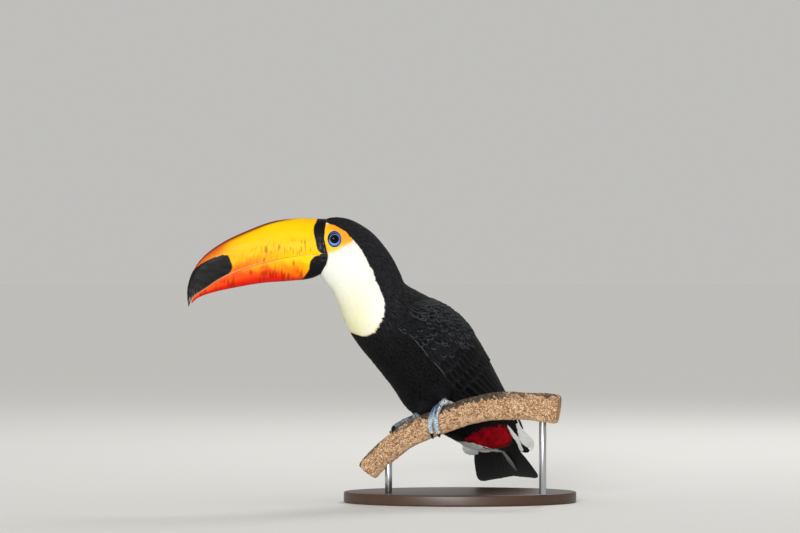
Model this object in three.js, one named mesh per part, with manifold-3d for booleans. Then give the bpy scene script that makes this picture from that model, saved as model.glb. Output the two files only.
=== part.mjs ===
// Toco toucan, life size, perched on a short cut branch that a display stand carries.
// Millimetres, +Z up. The bird looks towards -X, and the middle of the stand's underside is the origin.
import * as THREE from 'three';
import { mergeVertices } from 'three/addons/utils/BufferGeometryUtils.js';
import Module from 'manifold-3d';

const wasm = await Module();
wasm.setup();
const { Manifold, Mesh: SolidMesh } = wasm;

// ---- driving dimensions ----------------------------------------------------------------------

const GAP = 0.3;                 // clear space between neighbouring pieces
const HALF_GAP = GAP / 2;
const SIMPLER = 0.09;            // how far a face may move when slivers left by a join are merged

// Stations along the spine, from the bill's root to the tail coverts. x, y, z is the middle of the
// section, yaw turns its left side, tilt leans its back side, depth and width are half sizes.
const STATIONS = [
  { x: -186, y: -73, z: 327, yaw: 6, tilt: 7, depth: 38.3, width: 21.5 },
  { x: -175, y: -72, z: 329.5, yaw: 6, tilt: 8, depth: 36.7, width: 24 },
  { x: -166, y: -71, z: 327.5, yaw: 6, tilt: 14, depth: 40.5, width: 26.5 },
  { x: -156, y: -70, z: 323, yaw: 8, tilt: 20, depth: 43.6, width: 28.5 },
  { x: -145.5, y: -69, z: 316, yaw: 10, tilt: 26, depth: 45, width: 30.5 },
  { x: -136, y: -67, z: 306.5, yaw: 13, tilt: 32, depth: 46.5, width: 32.5 },
  { x: -127, y: -65, z: 294, yaw: 17, tilt: 38.5, depth: 46.9, width: 34 },
  { x: -119.5, y: -62, z: 281, yaw: 22, tilt: 44.5, depth: 47, width: 36 },
  { x: -113, y: -58, z: 266, yaw: 27, tilt: 48.5, depth: 47, width: 38.5 },
  { x: -107.5, y: -53, z: 254, yaw: 32, tilt: 50, depth: 46.5, width: 41.5 },
  { x: -91.5, y: -44, z: 238, yaw: 35, tilt: 48, depth: 52, width: 46 },
  { x: -72.3, y: -30, z: 221.4, yaw: 37, tilt: 45, depth: 57, width: 49.5 },
  { x: -55, y: -17, z: 204, yaw: 37, tilt: 44, depth: 60, width: 51.5 },
  { x: -39.4, y: -4, z: 185.5, yaw: 37, tilt: 44, depth: 61.5, width: 52.5 },
  { x: -27, y: 6, z: 166, yaw: 37, tilt: 44, depth: 61.5, width: 52 },
  { x: -14.6, y: 15, z: 150.7, yaw: 37, tilt: 44, depth: 59, width: 49.5 },
  { x: -1, y: 25, z: 133, yaw: 41, tilt: 44, depth: 54, width: 47 },
  { x: 15.6, y: 39, z: 115, yaw: 50, tilt: 42, depth: 45, width: 44 },
  { x: 32.8, y: 61, z: 95, yaw: 65, tilt: 37, depth: 34, width: 42 },
  { x: 45, y: 84, z: 76.5, yaw: 78, tilt: 33, depth: 23, width: 42 },
  { x: 52, y: 107, z: 62, yaw: 84, tilt: 31, depth: 11, width: 40 },
];
const SECTION_FULLNESS = 0.94;   // below 1 a section is fuller than an ellipse
const NECK_START = 5.2;          // station numbers at which the body is parted
const TORSO_START = 9.6;
const RUMP_START = 17.1;
const RUMP_END = 19.7;
const CRISSUM_END = 18.25;        // where the red undertail coverts end and white ones show
const UNDERTAIL_SUNK = 6;        // the body's end lies this far inside the coverts above it
const BODY_SEGMENTS = 24;        // points round each section

// The head's own frame: u runs forward from the eyes, v up, and w to the bird's left.
const HEAD_MIDDLE = new THREE.Vector3(-160.2, -70.4, 338.8);
const HEAD_YAW = 6;

// Bill outlines in u, v. The bill is about 200 mm long, as on a grown male.
const CULMEN = [[0, 25.5], [21.6, 26.2], [50, 26.6], [80, 22.4], [110, 11.5], [140, -2.5],
  [165, -20], [180, -39], [187, -58.5], [188, -75], [186, -86.5]];
const TOMIUM = [[0, -17.6], [25, -19], [51, -21.6], [78, -26.5], [102, -33.3], [126, -41.5],
  [147, -51.4], [163, -62], [177.6, -71.6], [183, -79], [186, -87.3]];
const GONYS = [[0, -33], [14, -42], [31.8, -50.1], [60, -53.2], [96, -56.1], [140, -64],
  [163, -69.8], [175, -75], [182.4, -81.6]];
const BILL_HALF_WIDTH = 23;      // at its root
const BILL_LENGTH = 190;
const MANDIBLE_SCALE = 0.94;     // the lower bill sits just inside the upper one
const MANDIBLE_REACH = 0.95;     // share of the mouth line that the lower bill follows
const MOUTH_GAP = 0.4;
const BILL_RINGS = 18;
const BILL_SEGMENTS = 10;        // points down each side

// Where the bill ends and the face begins, in u, v.
const BILL_SEAM = [[11, 34], [12.2, 22.5], [14.6, 13], [15.6, 0.6], [13.1, -8.1], [9.7, -21.4],
  [10.1, -26.5], [12.4, -35.9], [21.6, -45.5], [31.4, -56]];
const BILL_FRONT = [[31, -120], [260, -120], [260, 34]];   // closes the outline well past the bill
const NOSTRIL = { u: 14.5, v: 23.4, w: 8.5, length: 3.2, height: 1.6 };

const EYE = { radius: 8.6, sunk: 5.4, forward: 2.9 };
const LIDS = { halfWidth: 8.6, halfHeight: 10.3, proud: 1.3 };

// Rear border of the white bib: u, v points in the head's frame.
const BIB_BORDER = [[11, -23], [-3, -14], [-21, -1.5], [-26, -7], [-33, -20], [-42, -38], [-52, -60],
  [-60, -80], [-60.5, -96], [-52, -113], [-42, -122], [-31, -123], [-18, -115], [30, -115]];

// Tail: ten feathers in a flat fan on a root that the coverts take in.
const TAIL = { length: 144, feathers: 10, halfWidth: 14.5, rootSpread: 2.4, spread: 6.6, thickness: 0.55,
  layer: 0.86, shorter: 1.1, camber: 330, direction: [0.215, 0.86, -0.45] };
const TAIL_NARROW = { share: 0.7, until: 0.55 };   // a tail feather's root, as a share of its full width
const TAIL_ROOT = { behind: 52, narrow: 18, wide: 31, thickness: 4.6, start: -10, widest: 14, end: 66 };

// Folded wing: station numbers and angles round the body, and the thickness of its core.
const WING = { start: 10.3, end: 18.7, low: [119, 99], high: 17, wrist: [50, 76], tip: [42, 58],
  thickness: 6, thinning: 0.55, edge: 1, sunk: 5 };
// How fast the wing opens behind the wrist, and where and how sharply its borders close to the tip.
const WING_CURVE = { opening: 1.9, opened: 0.06, roundness: 0.6, low: [0.65, 1.3], high: [0.62, 1.6] };
// Tiers of wing feathers, from the lowest layer up: how many, station of the first and last root and
// tip, angle of the first and last root and tip, half width, and how far the tips stand off.
const WING_TIERS = {
  primaries: { count: 5, root: [14.2, 13.6], tip: [17.2, 18.95], rootAngle: [94, 72], tipAngle: [80, 52],
    halfWidth: 8, stand: 0.8, rows: 3 },
  secondaries: { count: 5, root: [13.6, 12.8], tip: [16.2, 17.4], rootAngle: [100, 34],
    tipAngle: [90, 32], halfWidth: 12.5, stand: 1.4, rows: 3 },
  greater_coverts: { count: 6, root: [12.3, 11.9], tip: [14.7, 15.3], rootAngle: [108, 36],
    tipAngle: [102, 34], halfWidth: 10.5, stand: 2, rows: 3 },
  lesser_coverts: { count: 5, root: [10.9, 10.9], tip: [13, 13.5], rootAngle: [96, 44],
    tipAngle: [108, 38], halfWidth: 11.5, stand: 2.4, rows: 3 },
  scapulars: { count: 2, root: [11.4, 11.2], tip: [14.6, 14.9], rootAngle: [42, 26],
    tipAngle: [38, 20], halfWidth: 11, stand: 2.8, rows: 3 },
};
const VANE = { thickness: 0.8, roll: 1, sunk: 1.6 };

// White covert feathers over the tail's root, in the tail's own frame: shares of the half fan, side of
// the tail, how far along it they run, half fan at root and tip, and height above the tail.
const RUMP_TIERS = [
  { shares: [-1, -0.6, -0.2, 0.2, 0.6, 1], side: 1, along: [8, 66], fan: [30, 42], height: [8.5, 5.6] },
  { shares: [-1, -0.5, 0, 0.5, 1], side: 1, along: [0, 56], fan: [20, 36], height: [15, 9.5] },
  { shares: [-1, -0.6, 0.6, 1], side: -1, along: [6, 48], fan: [24, 37], height: [8, 6.5] },
];
const RUMP_VANE = { halfWidth: 11, droop: 3, shorter: 5 };   // the outer ones hang lower and end sooner
// Red covert feathers below the tail, on the body's own form.
const CRISSUM_ROUNDING = 0.45;   // stations by which the outer tips end sooner
const CRISSUM_TIERS = [
  { count: 5, root: 17.6, tip: 18.55, angles: [122, 238], halfWidth: 12, stand: 0 },
  { count: 4, root: 17.25, tip: 18.2, angles: [130, 230], halfWidth: 13, stand: 0.6 },
];

// Perch: side view x, z of the cut branch's middle line. Its right end swings towards the viewer.
const PERCH_LINE = [[-119, 41], [-112, 49.6], [-97, 64.4], [-82.5, 76.2], [-71, 85], [-58, 92.5],
  [-45, 98.6], [-30, 104.3], [-3, 114.8], [12, 119.8], [31, 124.2], [50, 126.4], [69, 126.9],
  [88, 126.2], [107, 124.6], [124, 122.4]];
const PERCH_PLACE = { y: -57, swing: -0.2 };   // y at x = 0, and its change along x
const PERCH_RADIUS = { left: 15, right: 19 };
const PERCH_SEGMENTS = 14;

// Feet. x is a place along the perch; angle 0 is the perch's far side, 90 its top, 180 the near side.
// Two toes point forwards and two back, as on all toucans.
const TOE = { radius: 3.5, tipRadius: 2.7, steps: 8, sides: 7 };
const CLAW = { radius: 2.3, tipRadius: 0.35, turn: 48, steps: 3 };
const FEET = {
  left: {
    hub: { x: -13, angle: 88 },
    towardsBody: [-0.16, 0.8, 0.57],
    toes: {
      inner_front: { x: -30, angle: 222 },
      outer_front: { x: -37, angle: 212 },
      outer_back: { x: -4, angle: -28 },
      inner_back: { x: -14, angle: -10 },
    },
  },
  right: {
    hub: { x: -52, angle: 62 },
    towardsBody: [0.54, 0.45, 0.7],
    toes: {
      inner_front: { x: -74, angle: 88 },
      outer_front: { x: -80, angle: 58 },
      outer_back: { x: -42, angle: -22 },
      inner_back: { x: -33, angle: 8 },
    },
  },
};
const THIGH = { radius: 17, ankleRadius: 7, length: 30, ankle: 4.6 };   // measured from the foot's hub

const BASE = { length: 300, width: 200, height: 14, bevel: 2 };
const ROD_RADIUS = 4.5;
const RODS = { stand_rod_left: -92, stand_rod_right: 104 };   // where each rod stands along X

// ---- small helpers ---------------------------------------------------------------------------

const vector = (x, y, z) => new THREE.Vector3(x, y, z);
const radians = THREE.MathUtils.degToRad;
const lerp = THREE.MathUtils.lerp;
const clamp = THREE.MathUtils.clamp;
const rounded = (value, power) => Math.sign(value) * Math.abs(value) ** power;

/** A solid from any closed three.js geometry, with its faces turned outwards. */
function toSolid(geometry) {
  const bare = new THREE.BufferGeometry();
  bare.setAttribute('position', geometry.getAttribute('position'));
  if (geometry.getIndex()) bare.setIndex(geometry.getIndex());
  const merged = mergeVertices(bare, 1e-4);
  const vertProperties = Float32Array.from(merged.getAttribute('position').array);
  const triVerts = Uint32Array.from(merged.getIndex().array);
  if (enclosedVolume(vertProperties, triVerts) < 0) {
    for (let i = 0; i < triVerts.length; i += 3) {
      [triVerts[i + 1], triVerts[i + 2]] = [triVerts[i + 2], triVerts[i + 1]];
    }
  }
  return new Manifold(new SolidMesh({ numProp: 3, vertProperties, triVerts }));
}

function enclosedVolume(points, triangles) {
  const [a, b, c] = [vector(), vector(), vector()];
  let sum = 0;
  for (let i = 0; i < triangles.length; i += 3) {
    a.fromArray(points, triangles[i] * 3);
    b.fromArray(points, triangles[i + 1] * 3);
    c.fromArray(points, triangles[i + 2] * 3);
    sum += a.dot(b.cross(c));
  }
  return sum / 6;
}

/** The largest closed surface of a solid, which drops loose scraps and fills sealed hollows. */
function largest(solid) {
  const size = (piece) => {
    const mesh = piece.getMesh();
    return Math.abs(enclosedVolume(mesh.vertProperties, mesh.triVerts));
  };
  return solid.decompose().reduce((best, piece) => (size(piece) > size(best) ? piece : best));
}

function toGeometry(solid) {
  const mesh = largest(solid.asOriginal().simplify(SIMPLER)).getMesh();
  const geometry = new THREE.BufferGeometry();
  geometry.setAttribute('position', new THREE.BufferAttribute(mesh.vertProperties, 3));
  geometry.setIndex(new THREE.BufferAttribute(mesh.triVerts, 1));
  return mergeVertices(geometry, 2e-3);
}

const join = (solids) => solids.reduce((whole, piece) => whole.add(piece));

/** A closed skin through rings of equally many points, with a fan at each end. */
function loft(rings) {
  const count = rings[0].length;
  const points = rings.flat();
  const triangles = [];
  for (let r = 0; r < rings.length - 1; r += 1) {
    for (let k = 0; k < count; k += 1) {
      const next = (k + 1) % count;
      const [a, b] = [r * count + k, r * count + next];
      triangles.push(a, b, b + count, a, b + count, a + count);
    }
  }
  const middle = (ring) => ring.reduce((sum, p) => sum.add(p), vector()).divideScalar(count);
  points.push(middle(rings[0]), middle(rings.at(-1)));
  const last = (rings.length - 1) * count;
  for (let k = 0; k < count; k += 1) {
    const next = (k + 1) % count;
    triangles.push(points.length - 2, next, k, points.length - 1, last + k, last + next);
  }
  return closedGeometry(points, triangles);
}

function closedGeometry(points, triangles) {
  const geometry = new THREE.BufferGeometry().setFromPoints(points);
  geometry.setIndex(triangles);
  return geometry;
}

/**
 * A closed sheet. place(t, q, high) gives a point for t from root to tip, q from -1 to 1 across,
 * on its upper or lower face. Both faces are split into triangles alike, so they can't cross.
 */
function sheet(rows, columns, place) {
  const points = [];
  for (const high of [true, false]) {
    for (let i = 0; i <= rows; i += 1) {
      for (let j = 0; j <= columns; j += 1) points.push(place(i / rows, (2 * j) / columns - 1, high));
    }
  }
  const at = (i, j) => i * (columns + 1) + j;
  const under = (rows + 1) * (columns + 1);
  const triangles = [];
  for (let i = 0; i < rows; i += 1) {
    for (let j = 0; j < columns; j += 1) {
      const [a, b, c, d] = [at(i, j), at(i, j + 1), at(i + 1, j + 1), at(i + 1, j)];
      triangles.push(a, b, c, a, c, d);
      triangles.push(under + a, under + c, under + b, under + a, under + d, under + c);
    }
  }
  const border = [];
  for (let j = 0; j < columns; j += 1) border.push(at(0, j));
  for (let i = 0; i < rows; i += 1) border.push(at(i, columns));
  for (let j = columns; j > 0; j -= 1) border.push(at(rows, j));
  for (let i = rows; i > 0; i -= 1) border.push(at(i, 0));
  border.forEach((a, k) => {
    const b = border[(k + 1) % border.length];
    triangles.push(a, under + a, under + b, a, under + b, b);
  });
  return closedGeometry(points, triangles);
}

function node(name, solid, colour, roughness = 0.7, metalness = 0) {
  const material = new THREE.MeshStandardMaterial({ color: colour, roughness, metalness });
  const mesh = new THREE.Mesh(toGeometry(solid), material);
  mesh.name = name;
  return mesh;
}

// ---- the body's form -------------------------------------------------------------------------

/** The spine's section at station number s, smoothly between the stations. */
function section(s) {
  const i = clamp(Math.floor(s), 0, STATIONS.length - 2);
  const f = s - i;
  const near = [i - 1, i, i + 1, i + 2].map((k) => STATIONS[clamp(k, 0, STATIONS.length - 1)]);
  const blend = (key) => {
    const [a, b, c, d] = near.map((entry) => entry[key]);
    const slope = (c - a) / 2;
    const curve = 2 * a - 5 * b + 4 * c - d;
    const twist = 3 * b - 3 * c + d - a;
    return b + slope * f + (curve * f * f + twist * f * f * f) / 2;
  };
  const yaw = radians(blend('yaw'));
  const tilt = radians(blend('tilt'));
  return {
    middle: vector(blend('x'), blend('y'), blend('z')),
    left: vector(Math.sin(yaw), -Math.cos(yaw), 0),
    back: vector(Math.sin(tilt) * Math.cos(yaw), Math.sin(tilt) * Math.sin(yaw), Math.cos(tilt)),
    depth: blend('depth'),
    width: blend('width'),
  };
}

/** A point on the body: angle 0 is the back, 90 degrees the left side, 180 the belly. */
function bodyPoint(s, angle, height = 0) {
  const { middle, left, back, depth, width } = section(s);
  const a = radians(angle);
  return middle.clone()
    .addScaledVector(left, (width + height) * rounded(Math.sin(a), SECTION_FULLNESS))
    .addScaledVector(back, (depth + height) * rounded(Math.cos(a), SECTION_FULLNESS));
}

function bodyRing(s, height, shift = 0) {
  const { left, back } = section(s);
  const along = back.clone().cross(left).normalize().multiplyScalar(shift);
  return Array.from({ length: BODY_SEGMENTS }, (_, k) => (
    bodyPoint(s, (k * 360) / BODY_SEGMENTS, height).add(along)));
}

/** A length of the body between two stations, grown by height. */
function bodyLength(from, to, rings, height = 0) {
  const shiftOf = (i) => (i === 0 ? HALF_GAP : i === rings ? -HALF_GAP : 0);
  return toSolid(loft(Array.from({ length: rings + 1 }, (_, i) => (
    bodyRing(lerp(from, to, i / rings), height, height ? 0 : shiftOf(i))))));
}

/**
 * A feather that lies on the body. under(t, s, angle) is the height of what it lies on. Its root is
 * sunk into that, its tip stands off, and a little roll keeps neighbours from meeting flat.
 */
function bodyVane({ root, tip, halfWidth, stand, rows, under }) {
  return toSolid(sheet(rows, 2, (row, q, high) => {
    const t = vaneRow(row);
    const s = lerp(root.s, tip.s, t);
    const { depth, width } = section(s);
    const reach = halfWidth * vaneOutline(t) * q;
    const middle = lerp(root.angle, tip.angle, t);
    const angle = middle + THREE.MathUtils.radToDeg((2 * reach) / (depth + width));
    const lift = under(s, middle) + lerp(-VANE.sunk, stand, t) + VANE.roll * q;
    return bodyPoint(s, angle, lift + (high ? 0.5 : -0.5) * VANE.thickness);
  }));
}

/** Place along a feather for a row of its mesh: rows lie closer near the rounded tip. */
const vaneRow = (t) => 1 - (1 - t) ** 1.6;

/** Share of a feather's half width along its length: widest at two thirds, then round. */
function vaneOutline(t) {
  const round = clamp((t - 0.62) / 0.38, 0, 1);
  return lerp(0.7, 1, Math.min(1, t * 2)) * Math.sqrt(1 - 0.9 * round ** 2);
}

// ---- head and bill ---------------------------------------------------------------------------

const headForward = vector(-Math.cos(radians(HEAD_YAW)), -Math.sin(radians(HEAD_YAW)), 0);
const headLeft = vector(Math.sin(radians(HEAD_YAW)), -Math.cos(radians(HEAD_YAW)), 0);

function headPoint(u, v, w = 0) {
  return HEAD_MIDDLE.clone()
    .addScaledVector(headForward, u)
    .addScaledVector(headLeft, w)
    .add(vector(0, 0, v));
}

/** Turns a geometry made with x as u, y as v and z as w into the head's place. */
function placeInHead(geometry) {
  const basis = new THREE.Matrix4().makeBasis(headForward, vector(0, 0, 1), headLeft);
  return geometry.applyMatrix4(basis.setPosition(HEAD_MIDDLE));
}

const smooth = (outline) => new THREE.SplineCurve(outline.map(([u, v]) => new THREE.Vector2(u, v)));

/** A prism across the whole head over an outline in u, v. */
function headPrism(outline, halfDepth = 80) {
  const shape = new THREE.Shape(outline.map(([u, v]) => new THREE.Vector2(u, v)));
  const prism = new THREE.ExtrudeGeometry(shape, { depth: 2 * halfDepth, bevelEnabled: false });
  return toSolid(placeInHead(prism.translate(0, 0, -halfDepth)));
}

const billHalfWidth = (u) => BILL_HALF_WIDTH * (1 - 0.9 * (clamp(u, 0, BILL_LENGTH) / BILL_LENGTH) ** 1.6);

/** Upper bill: from the culmen down each side to the mouth line, bulging a little above it. */
function maxillaRing(t) {
  const top = smooth(CULMEN).getPointAt(t);
  const mouth = smooth(TOMIUM).getPointAt(t);
  const width = Math.max(billHalfWidth((top.x + mouth.x) / 2), 1.2);
  const widest = radians(106);
  const side = Array.from({ length: BILL_SEGMENTS + 1 }, (_, k) => {
    const angle = (widest * k) / BILL_SEGMENTS;
    const share = (Math.cos(angle) - Math.cos(widest)) / (1 - Math.cos(widest));
    return [lerp(mouth.x, top.x, share), lerp(mouth.y, top.y, share), width * Math.sin(angle) ** 0.82];
  });
  const left = side.map(([u, v, w]) => headPoint(u, v, w));
  const right = side.slice(1).reverse().map(([u, v, w]) => headPoint(u, v, -w));
  return [...left, ...right];
}

/** Lower bill: a keel below the mouth line, just narrower than the upper bill. */
function mandibleRing(t) {
  const line = smooth(TOMIUM);
  const share = lerp(0, MANDIBLE_REACH, t);
  const mouth = line.getPointAt(share);
  const along = line.getTangentAt(share);
  mouth.add(new THREE.Vector2(along.y, -along.x).multiplyScalar(MOUTH_GAP));
  const keel = smooth(GONYS).getPointAt(t);
  const width = Math.max(billHalfWidth(mouth.x) * MANDIBLE_SCALE, 1);
  const side = Array.from({ length: BILL_SEGMENTS + 1 }, (_, k) => {
    const angle = ((Math.PI / 2) * k) / BILL_SEGMENTS;
    const drop = Math.sin(angle);
    return [lerp(mouth.x, keel.x, drop), lerp(mouth.y, keel.y, drop), width * Math.cos(angle) ** 0.7];
  });
  const left = side.slice(0, -1).map(([u, v, w]) => headPoint(u, v, w));
  const right = side.slice(0, -1).reverse().map(([u, v, w]) => headPoint(u, v, -w));
  const low = side.at(-1);
  return [...left, headPoint(low[0], low[1], 0), ...right];
}

const seamOutline = (shift) => [...BILL_SEAM.map(([u, v]) => [u + shift, v]), ...BILL_FRONT];

function billPart(ring) {
  const rings = Array.from({ length: BILL_RINGS + 1 }, (_, i) => ring((i / BILL_RINGS) ** 0.9));
  return toSolid(loft(rings)).intersect(headPrism(seamOutline(0)));
}

function nostrils() {
  return join([1, -1].map((side) => {
    const pit = new THREE.SphereGeometry(1, 10, 6);
    pit.scale(NOSTRIL.length, NOSTRIL.height, NOSTRIL.height);
    return toSolid(placeInHead(pit.translate(NOSTRIL.u, NOSTRIL.v, side * NOSTRIL.w)));
  }));
}

/** How far the side of the head stands from its middle plane, level with the eyes. */
function cheekWidth() {
  let best = 0;
  for (let s = 0; s < 3; s += 0.05) {
    for (let angle = 40; angle < 120; angle += 2) {
      const offset = bodyPoint(s, angle).sub(HEAD_MIDDLE);
      const ahead = offset.dot(headForward) - EYE.forward;
      if (Math.hypot(ahead, offset.z) < 2.5) best = Math.max(best, offset.dot(headLeft));
    }
  }
  return best;
}
const eyeSide = cheekWidth();

function eyeball(side, grow = 0) {
  const ball = new THREE.SphereGeometry(EYE.radius + grow, 14, 9);
  return toSolid(placeInHead(ball.translate(EYE.forward, 0, side * (eyeSide - EYE.sunk))));
}

/** Ring of bare skin round each eye: an oval roll that stands a little proud of the face. */
function lidRing(side) {
  const profile = [[0, -6], [1, -6], [1, 0.5], [0.86, 0.95], [0.72, 1], [0.62, 0.8], [0, 0.8]];
  const roll = new THREE.LatheGeometry(profile.map(([r, h]) => new THREE.Vector2(r, h)), 24);
  roll.rotateX(Math.PI / 2);
  roll.scale(LIDS.halfWidth, LIDS.halfHeight, LIDS.proud * side);
  return toSolid(placeInHead(roll.translate(EYE.forward, 0, side * eyeSide)));
}

// ---- build: head, bill, eyes, bib, neck, torso -----------------------------------------------

const trunkCutter = bodyLength(4, 20, 48, GAP);

const maxilla = billPart(maxillaRing).subtract(nostrils());
const mandible = billPart(mandibleRing);

const bibPrism = headPrism(BIB_BORDER, 90);
const bibCutter = headPrism(growOutline(BIB_BORDER, GAP), 90);

/** Moves each point of a closed outline outwards by a distance. */
function growOutline(outline, distance) {
  const count = outline.length;
  const area = outline.reduce((sum, [u, v], k) => {
    const [nextU, nextV] = outline[(k + 1) % count];
    return sum + u * nextV - nextU * v;
  }, 0);
  return outline.map(([u, v], k) => {
    const [beforeU, beforeV] = outline[(k + count - 1) % count];
    const [afterU, afterV] = outline[(k + 1) % count];
    const normal = new THREE.Vector2(afterV - beforeV, beforeU - afterU).normalize();
    return [u + Math.sign(area) * normal.x * distance, v + Math.sign(area) * normal.y * distance];
  });
}

const headShell = bodyLength(-0.2, NECK_START, 12).subtract(headPrism(seamOutline(-GAP)));
const neckShell = bodyLength(NECK_START, TORSO_START, 9);
const torsoShell = bodyLength(TORSO_START, RUMP_START, 18);

const head = [1, -1].reduce(
  (form, side) => form.add(lidRing(side)).subtract(eyeball(side, GAP)),
  headShell,
);

const bird = new THREE.Group();
bird.add(node('maxilla', maxilla, '#f2a01c', 0.35));
bird.add(node('mandible', mandible, '#ee7a1e', 0.35));
bird.add(node('head', head.subtract(bibCutter), '#e9a23a', 0.8));
bird.add(node('eye_left', eyeball(1), '#0a0a0c', 0.1));
bird.add(node('eye_right', eyeball(-1), '#0a0a0c', 0.1));
bird.add(node('neck', neckShell.subtract(bibCutter), '#17171a', 0.8));
const frontShell = bodyLength(-0.2, TORSO_START + 1.4, 24).subtract(headPrism(seamOutline(-GAP)));
bird.add(node('bib', frontShell.intersect(bibPrism), '#f6f2e2', 0.9));
bird.add(node('torso', torsoShell.subtract(bibCutter), '#17171a', 0.8));

// ---- rump, crissum and tail ------------------------------------------------------------------

// The tail leaves the body at the last station and points on past it.
const tailEnd = section(STATIONS.length - 1);
const tailAlong = vector(...TAIL.direction).normalize();
const tailLeft = tailEnd.left.clone().addScaledVector(tailAlong, -tailEnd.left.dot(tailAlong)).normalize();
const tailUp = tailLeft.clone().cross(tailAlong).normalize();
const tailOrigin = tailEnd.middle.clone().addScaledVector(tailAlong, -TAIL_ROOT.behind);

const tailPoint = (along, across, height) => tailOrigin.clone()
  .addScaledVector(tailAlong, along)
  .addScaledVector(tailLeft, across)
  .addScaledVector(tailUp, height - (across * across) / TAIL.camber);

function tailSlab([start, end], [startWidth, endWidth], grow) {
  return toSolid(sheet(2, 6, (t, q, high) => tailPoint(
    lerp(start - grow, end, t),
    q * (lerp(startWidth, endWidth, t) + grow),
    (high ? 1 : -1) * (TAIL_ROOT.thickness + grow),
  )));
}

/** The flat root that carries the tail feathers; grown and longer, it is the pocket that takes it. */
function tailRoot(grow = 0, longer = 0) {
  const { start, widest, end, narrow, wide } = TAIL_ROOT;
  return tailSlab([start, widest], [narrow, wide], grow)
    .add(tailSlab([widest - 1, end + longer], [wide, wide], grow));
}

/** Tail feather number i: the middle pair lies on top, and each next pair is shorter. */
function tailFeather(i) {
  const side = i % 2 ? -1 : 1;
  const rank = Math.floor(i / 2) + 0.5;
  const level = ((TAIL.feathers - 1) / 2 - i) * TAIL.layer;
  const length = TAIL.length - TAIL.shorter * rank ** 1.6;
  return toSolid(sheet(7, 2, (row, q, high) => {
    const t = vaneRow(row);
    const middle = side * rank * lerp(TAIL.rootSpread, TAIL.spread, t);
    const narrow = lerp(TAIL_NARROW.share, 1, Math.min(1, t / TAIL_NARROW.until));
    const across = middle + q * TAIL.halfWidth * vaneOutline(t) * narrow;
    return tailPoint(length * t, across, level + (high ? 1 : -1) * (TAIL.thickness / 2));
  }));
}

/** The space above (side 1) or below (side -1) the tail's own plane, over the end of the body. */
function tailSpace(side) {
  return toSolid(sheet(1, 6, (t, q, high) => tailPoint(
    lerp(-90, 160, t),
    q * 90,
    side * (high ? 90 : HALF_GAP),
  )));
}

/** White covert feathers over the tail's root. Their tips lie lower than their roots, along the tail. */
function rumpFeathers({ shares, side, along, fan, height }) {
  return shares.map((share, k) => toSolid(sheet(4, 2, (row, q, high) => {
    const t = vaneRow(row);
    const across = share * lerp(...fan, t) + q * RUMP_VANE.halfWidth * vaneOutline(t);
    const droop = share * share * RUMP_VANE.droop * t + (k % 2) * GAP;
    const lift = lerp(...height, t) - droop + (high ? 0.5 : -0.5) * VANE.thickness;
    const behind = lerp(...along, t) - RUMP_VANE.shorter * share * share * t;
    return tailPoint(behind, across, side * lift);
  })));
}

function crissumFeathers({ count, root, tip, angles, halfWidth, stand }) {
  return Array.from({ length: count }, (_, k) => {
    const share = k / (count - 1);
    const angle = lerp(...angles, share);
    const end = tip - CRISSUM_ROUNDING * (2 * share - 1) ** 2;
    return bodyVane({
      root: { s: root, angle }, tip: { s: end, angle }, halfWidth, stand, rows: 4, under: () => 0,
    });
  });
}

const tailPocket = tailRoot(GAP, 60);
const trunkEnd = bodyLength(14, RUMP_START, 10, GAP);
const undertail = bodyLength(RUMP_START, CRISSUM_END, 7).add(join(CRISSUM_TIERS.flatMap(crissumFeathers)));
const crissum = undertail.subtract(tailPocket).intersect(tailSpace(-1)).subtract(trunkEnd);
const rumpCore = bodyLength(RUMP_START, RUMP_END, 9).intersect(tailSpace(1))
  .add(bodyLength(CRISSUM_END, RUMP_END, 5, -UNDERTAIL_SUNK));
const rump = join([rumpCore, ...RUMP_TIERS.flatMap(rumpFeathers)]).subtract(tailPocket)
  .subtract(trunkEnd)
  .subtract(bodyLength(RUMP_START - 0.1, CRISSUM_END, 7, GAP).intersect(tailSpace(-1)));
bird.add(node('rump', rump, '#f1efe8', 0.9));
bird.add(node('crissum', crissum, '#b0141c', 0.9));
const tailFeathers = Array.from({ length: TAIL.feathers }, (_, i) => tailFeather(i));
bird.add(node('tail', join([tailRoot(), ...tailFeathers]), '#141417', 0.6));

// ---- wings -----------------------------------------------------------------------------------

/** Angles of the folded wing's upper and lower border at a share t of its length. */
function wingBorders(t) {
  const { opening, opened, roundness } = WING_CURVE;
  const bend = Math.sin(Math.PI * Math.min(1, t * opening + opened) / 2) ** roundness;
  const closing = ([from, power]) => clamp((t - from) / (1 - from), 0, 1) ** power;
  const edge = lerp(...WING.low, Math.min(1, t / WING_CURVE.low[0]));
  const lower = lerp(lerp(WING.wrist[1], edge, bend), WING.tip[1], closing(WING_CURVE.low));
  const upper = lerp(lerp(WING.wrist[0], WING.high, bend), WING.tip[0], closing(WING_CURVE.high));
  return { upper, lower };
}

/** Height of the wing's core above the body: thick at the wrist and thin along its borders. */
function wingHeight(s, angle) {
  const t = clamp((s - WING.start) / (WING.end - WING.start), 0, 1);
  const { upper, lower } = wingBorders(t);
  const q = clamp((2 * (angle - upper)) / (lower - upper) - 1, -1, 1);
  return WING.edge + WING.thickness * (1 - WING.thinning * t) * Math.sqrt(1 - q ** 4);
}

/** The folded wing's core: a shell over the flank that the feathers grow from. */
function wingCore(side) {
  return toSolid(sheet(11, 7, (t, q, high) => {
    const s = lerp(WING.start, WING.end, t);
    const { upper, lower } = wingBorders(t);
    const angle = lerp(upper, lower, (q + 1) / 2);
    return bodyPoint(s, side * angle, high ? wingHeight(s, angle) : -WING.sunk);
  }));
}

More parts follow.
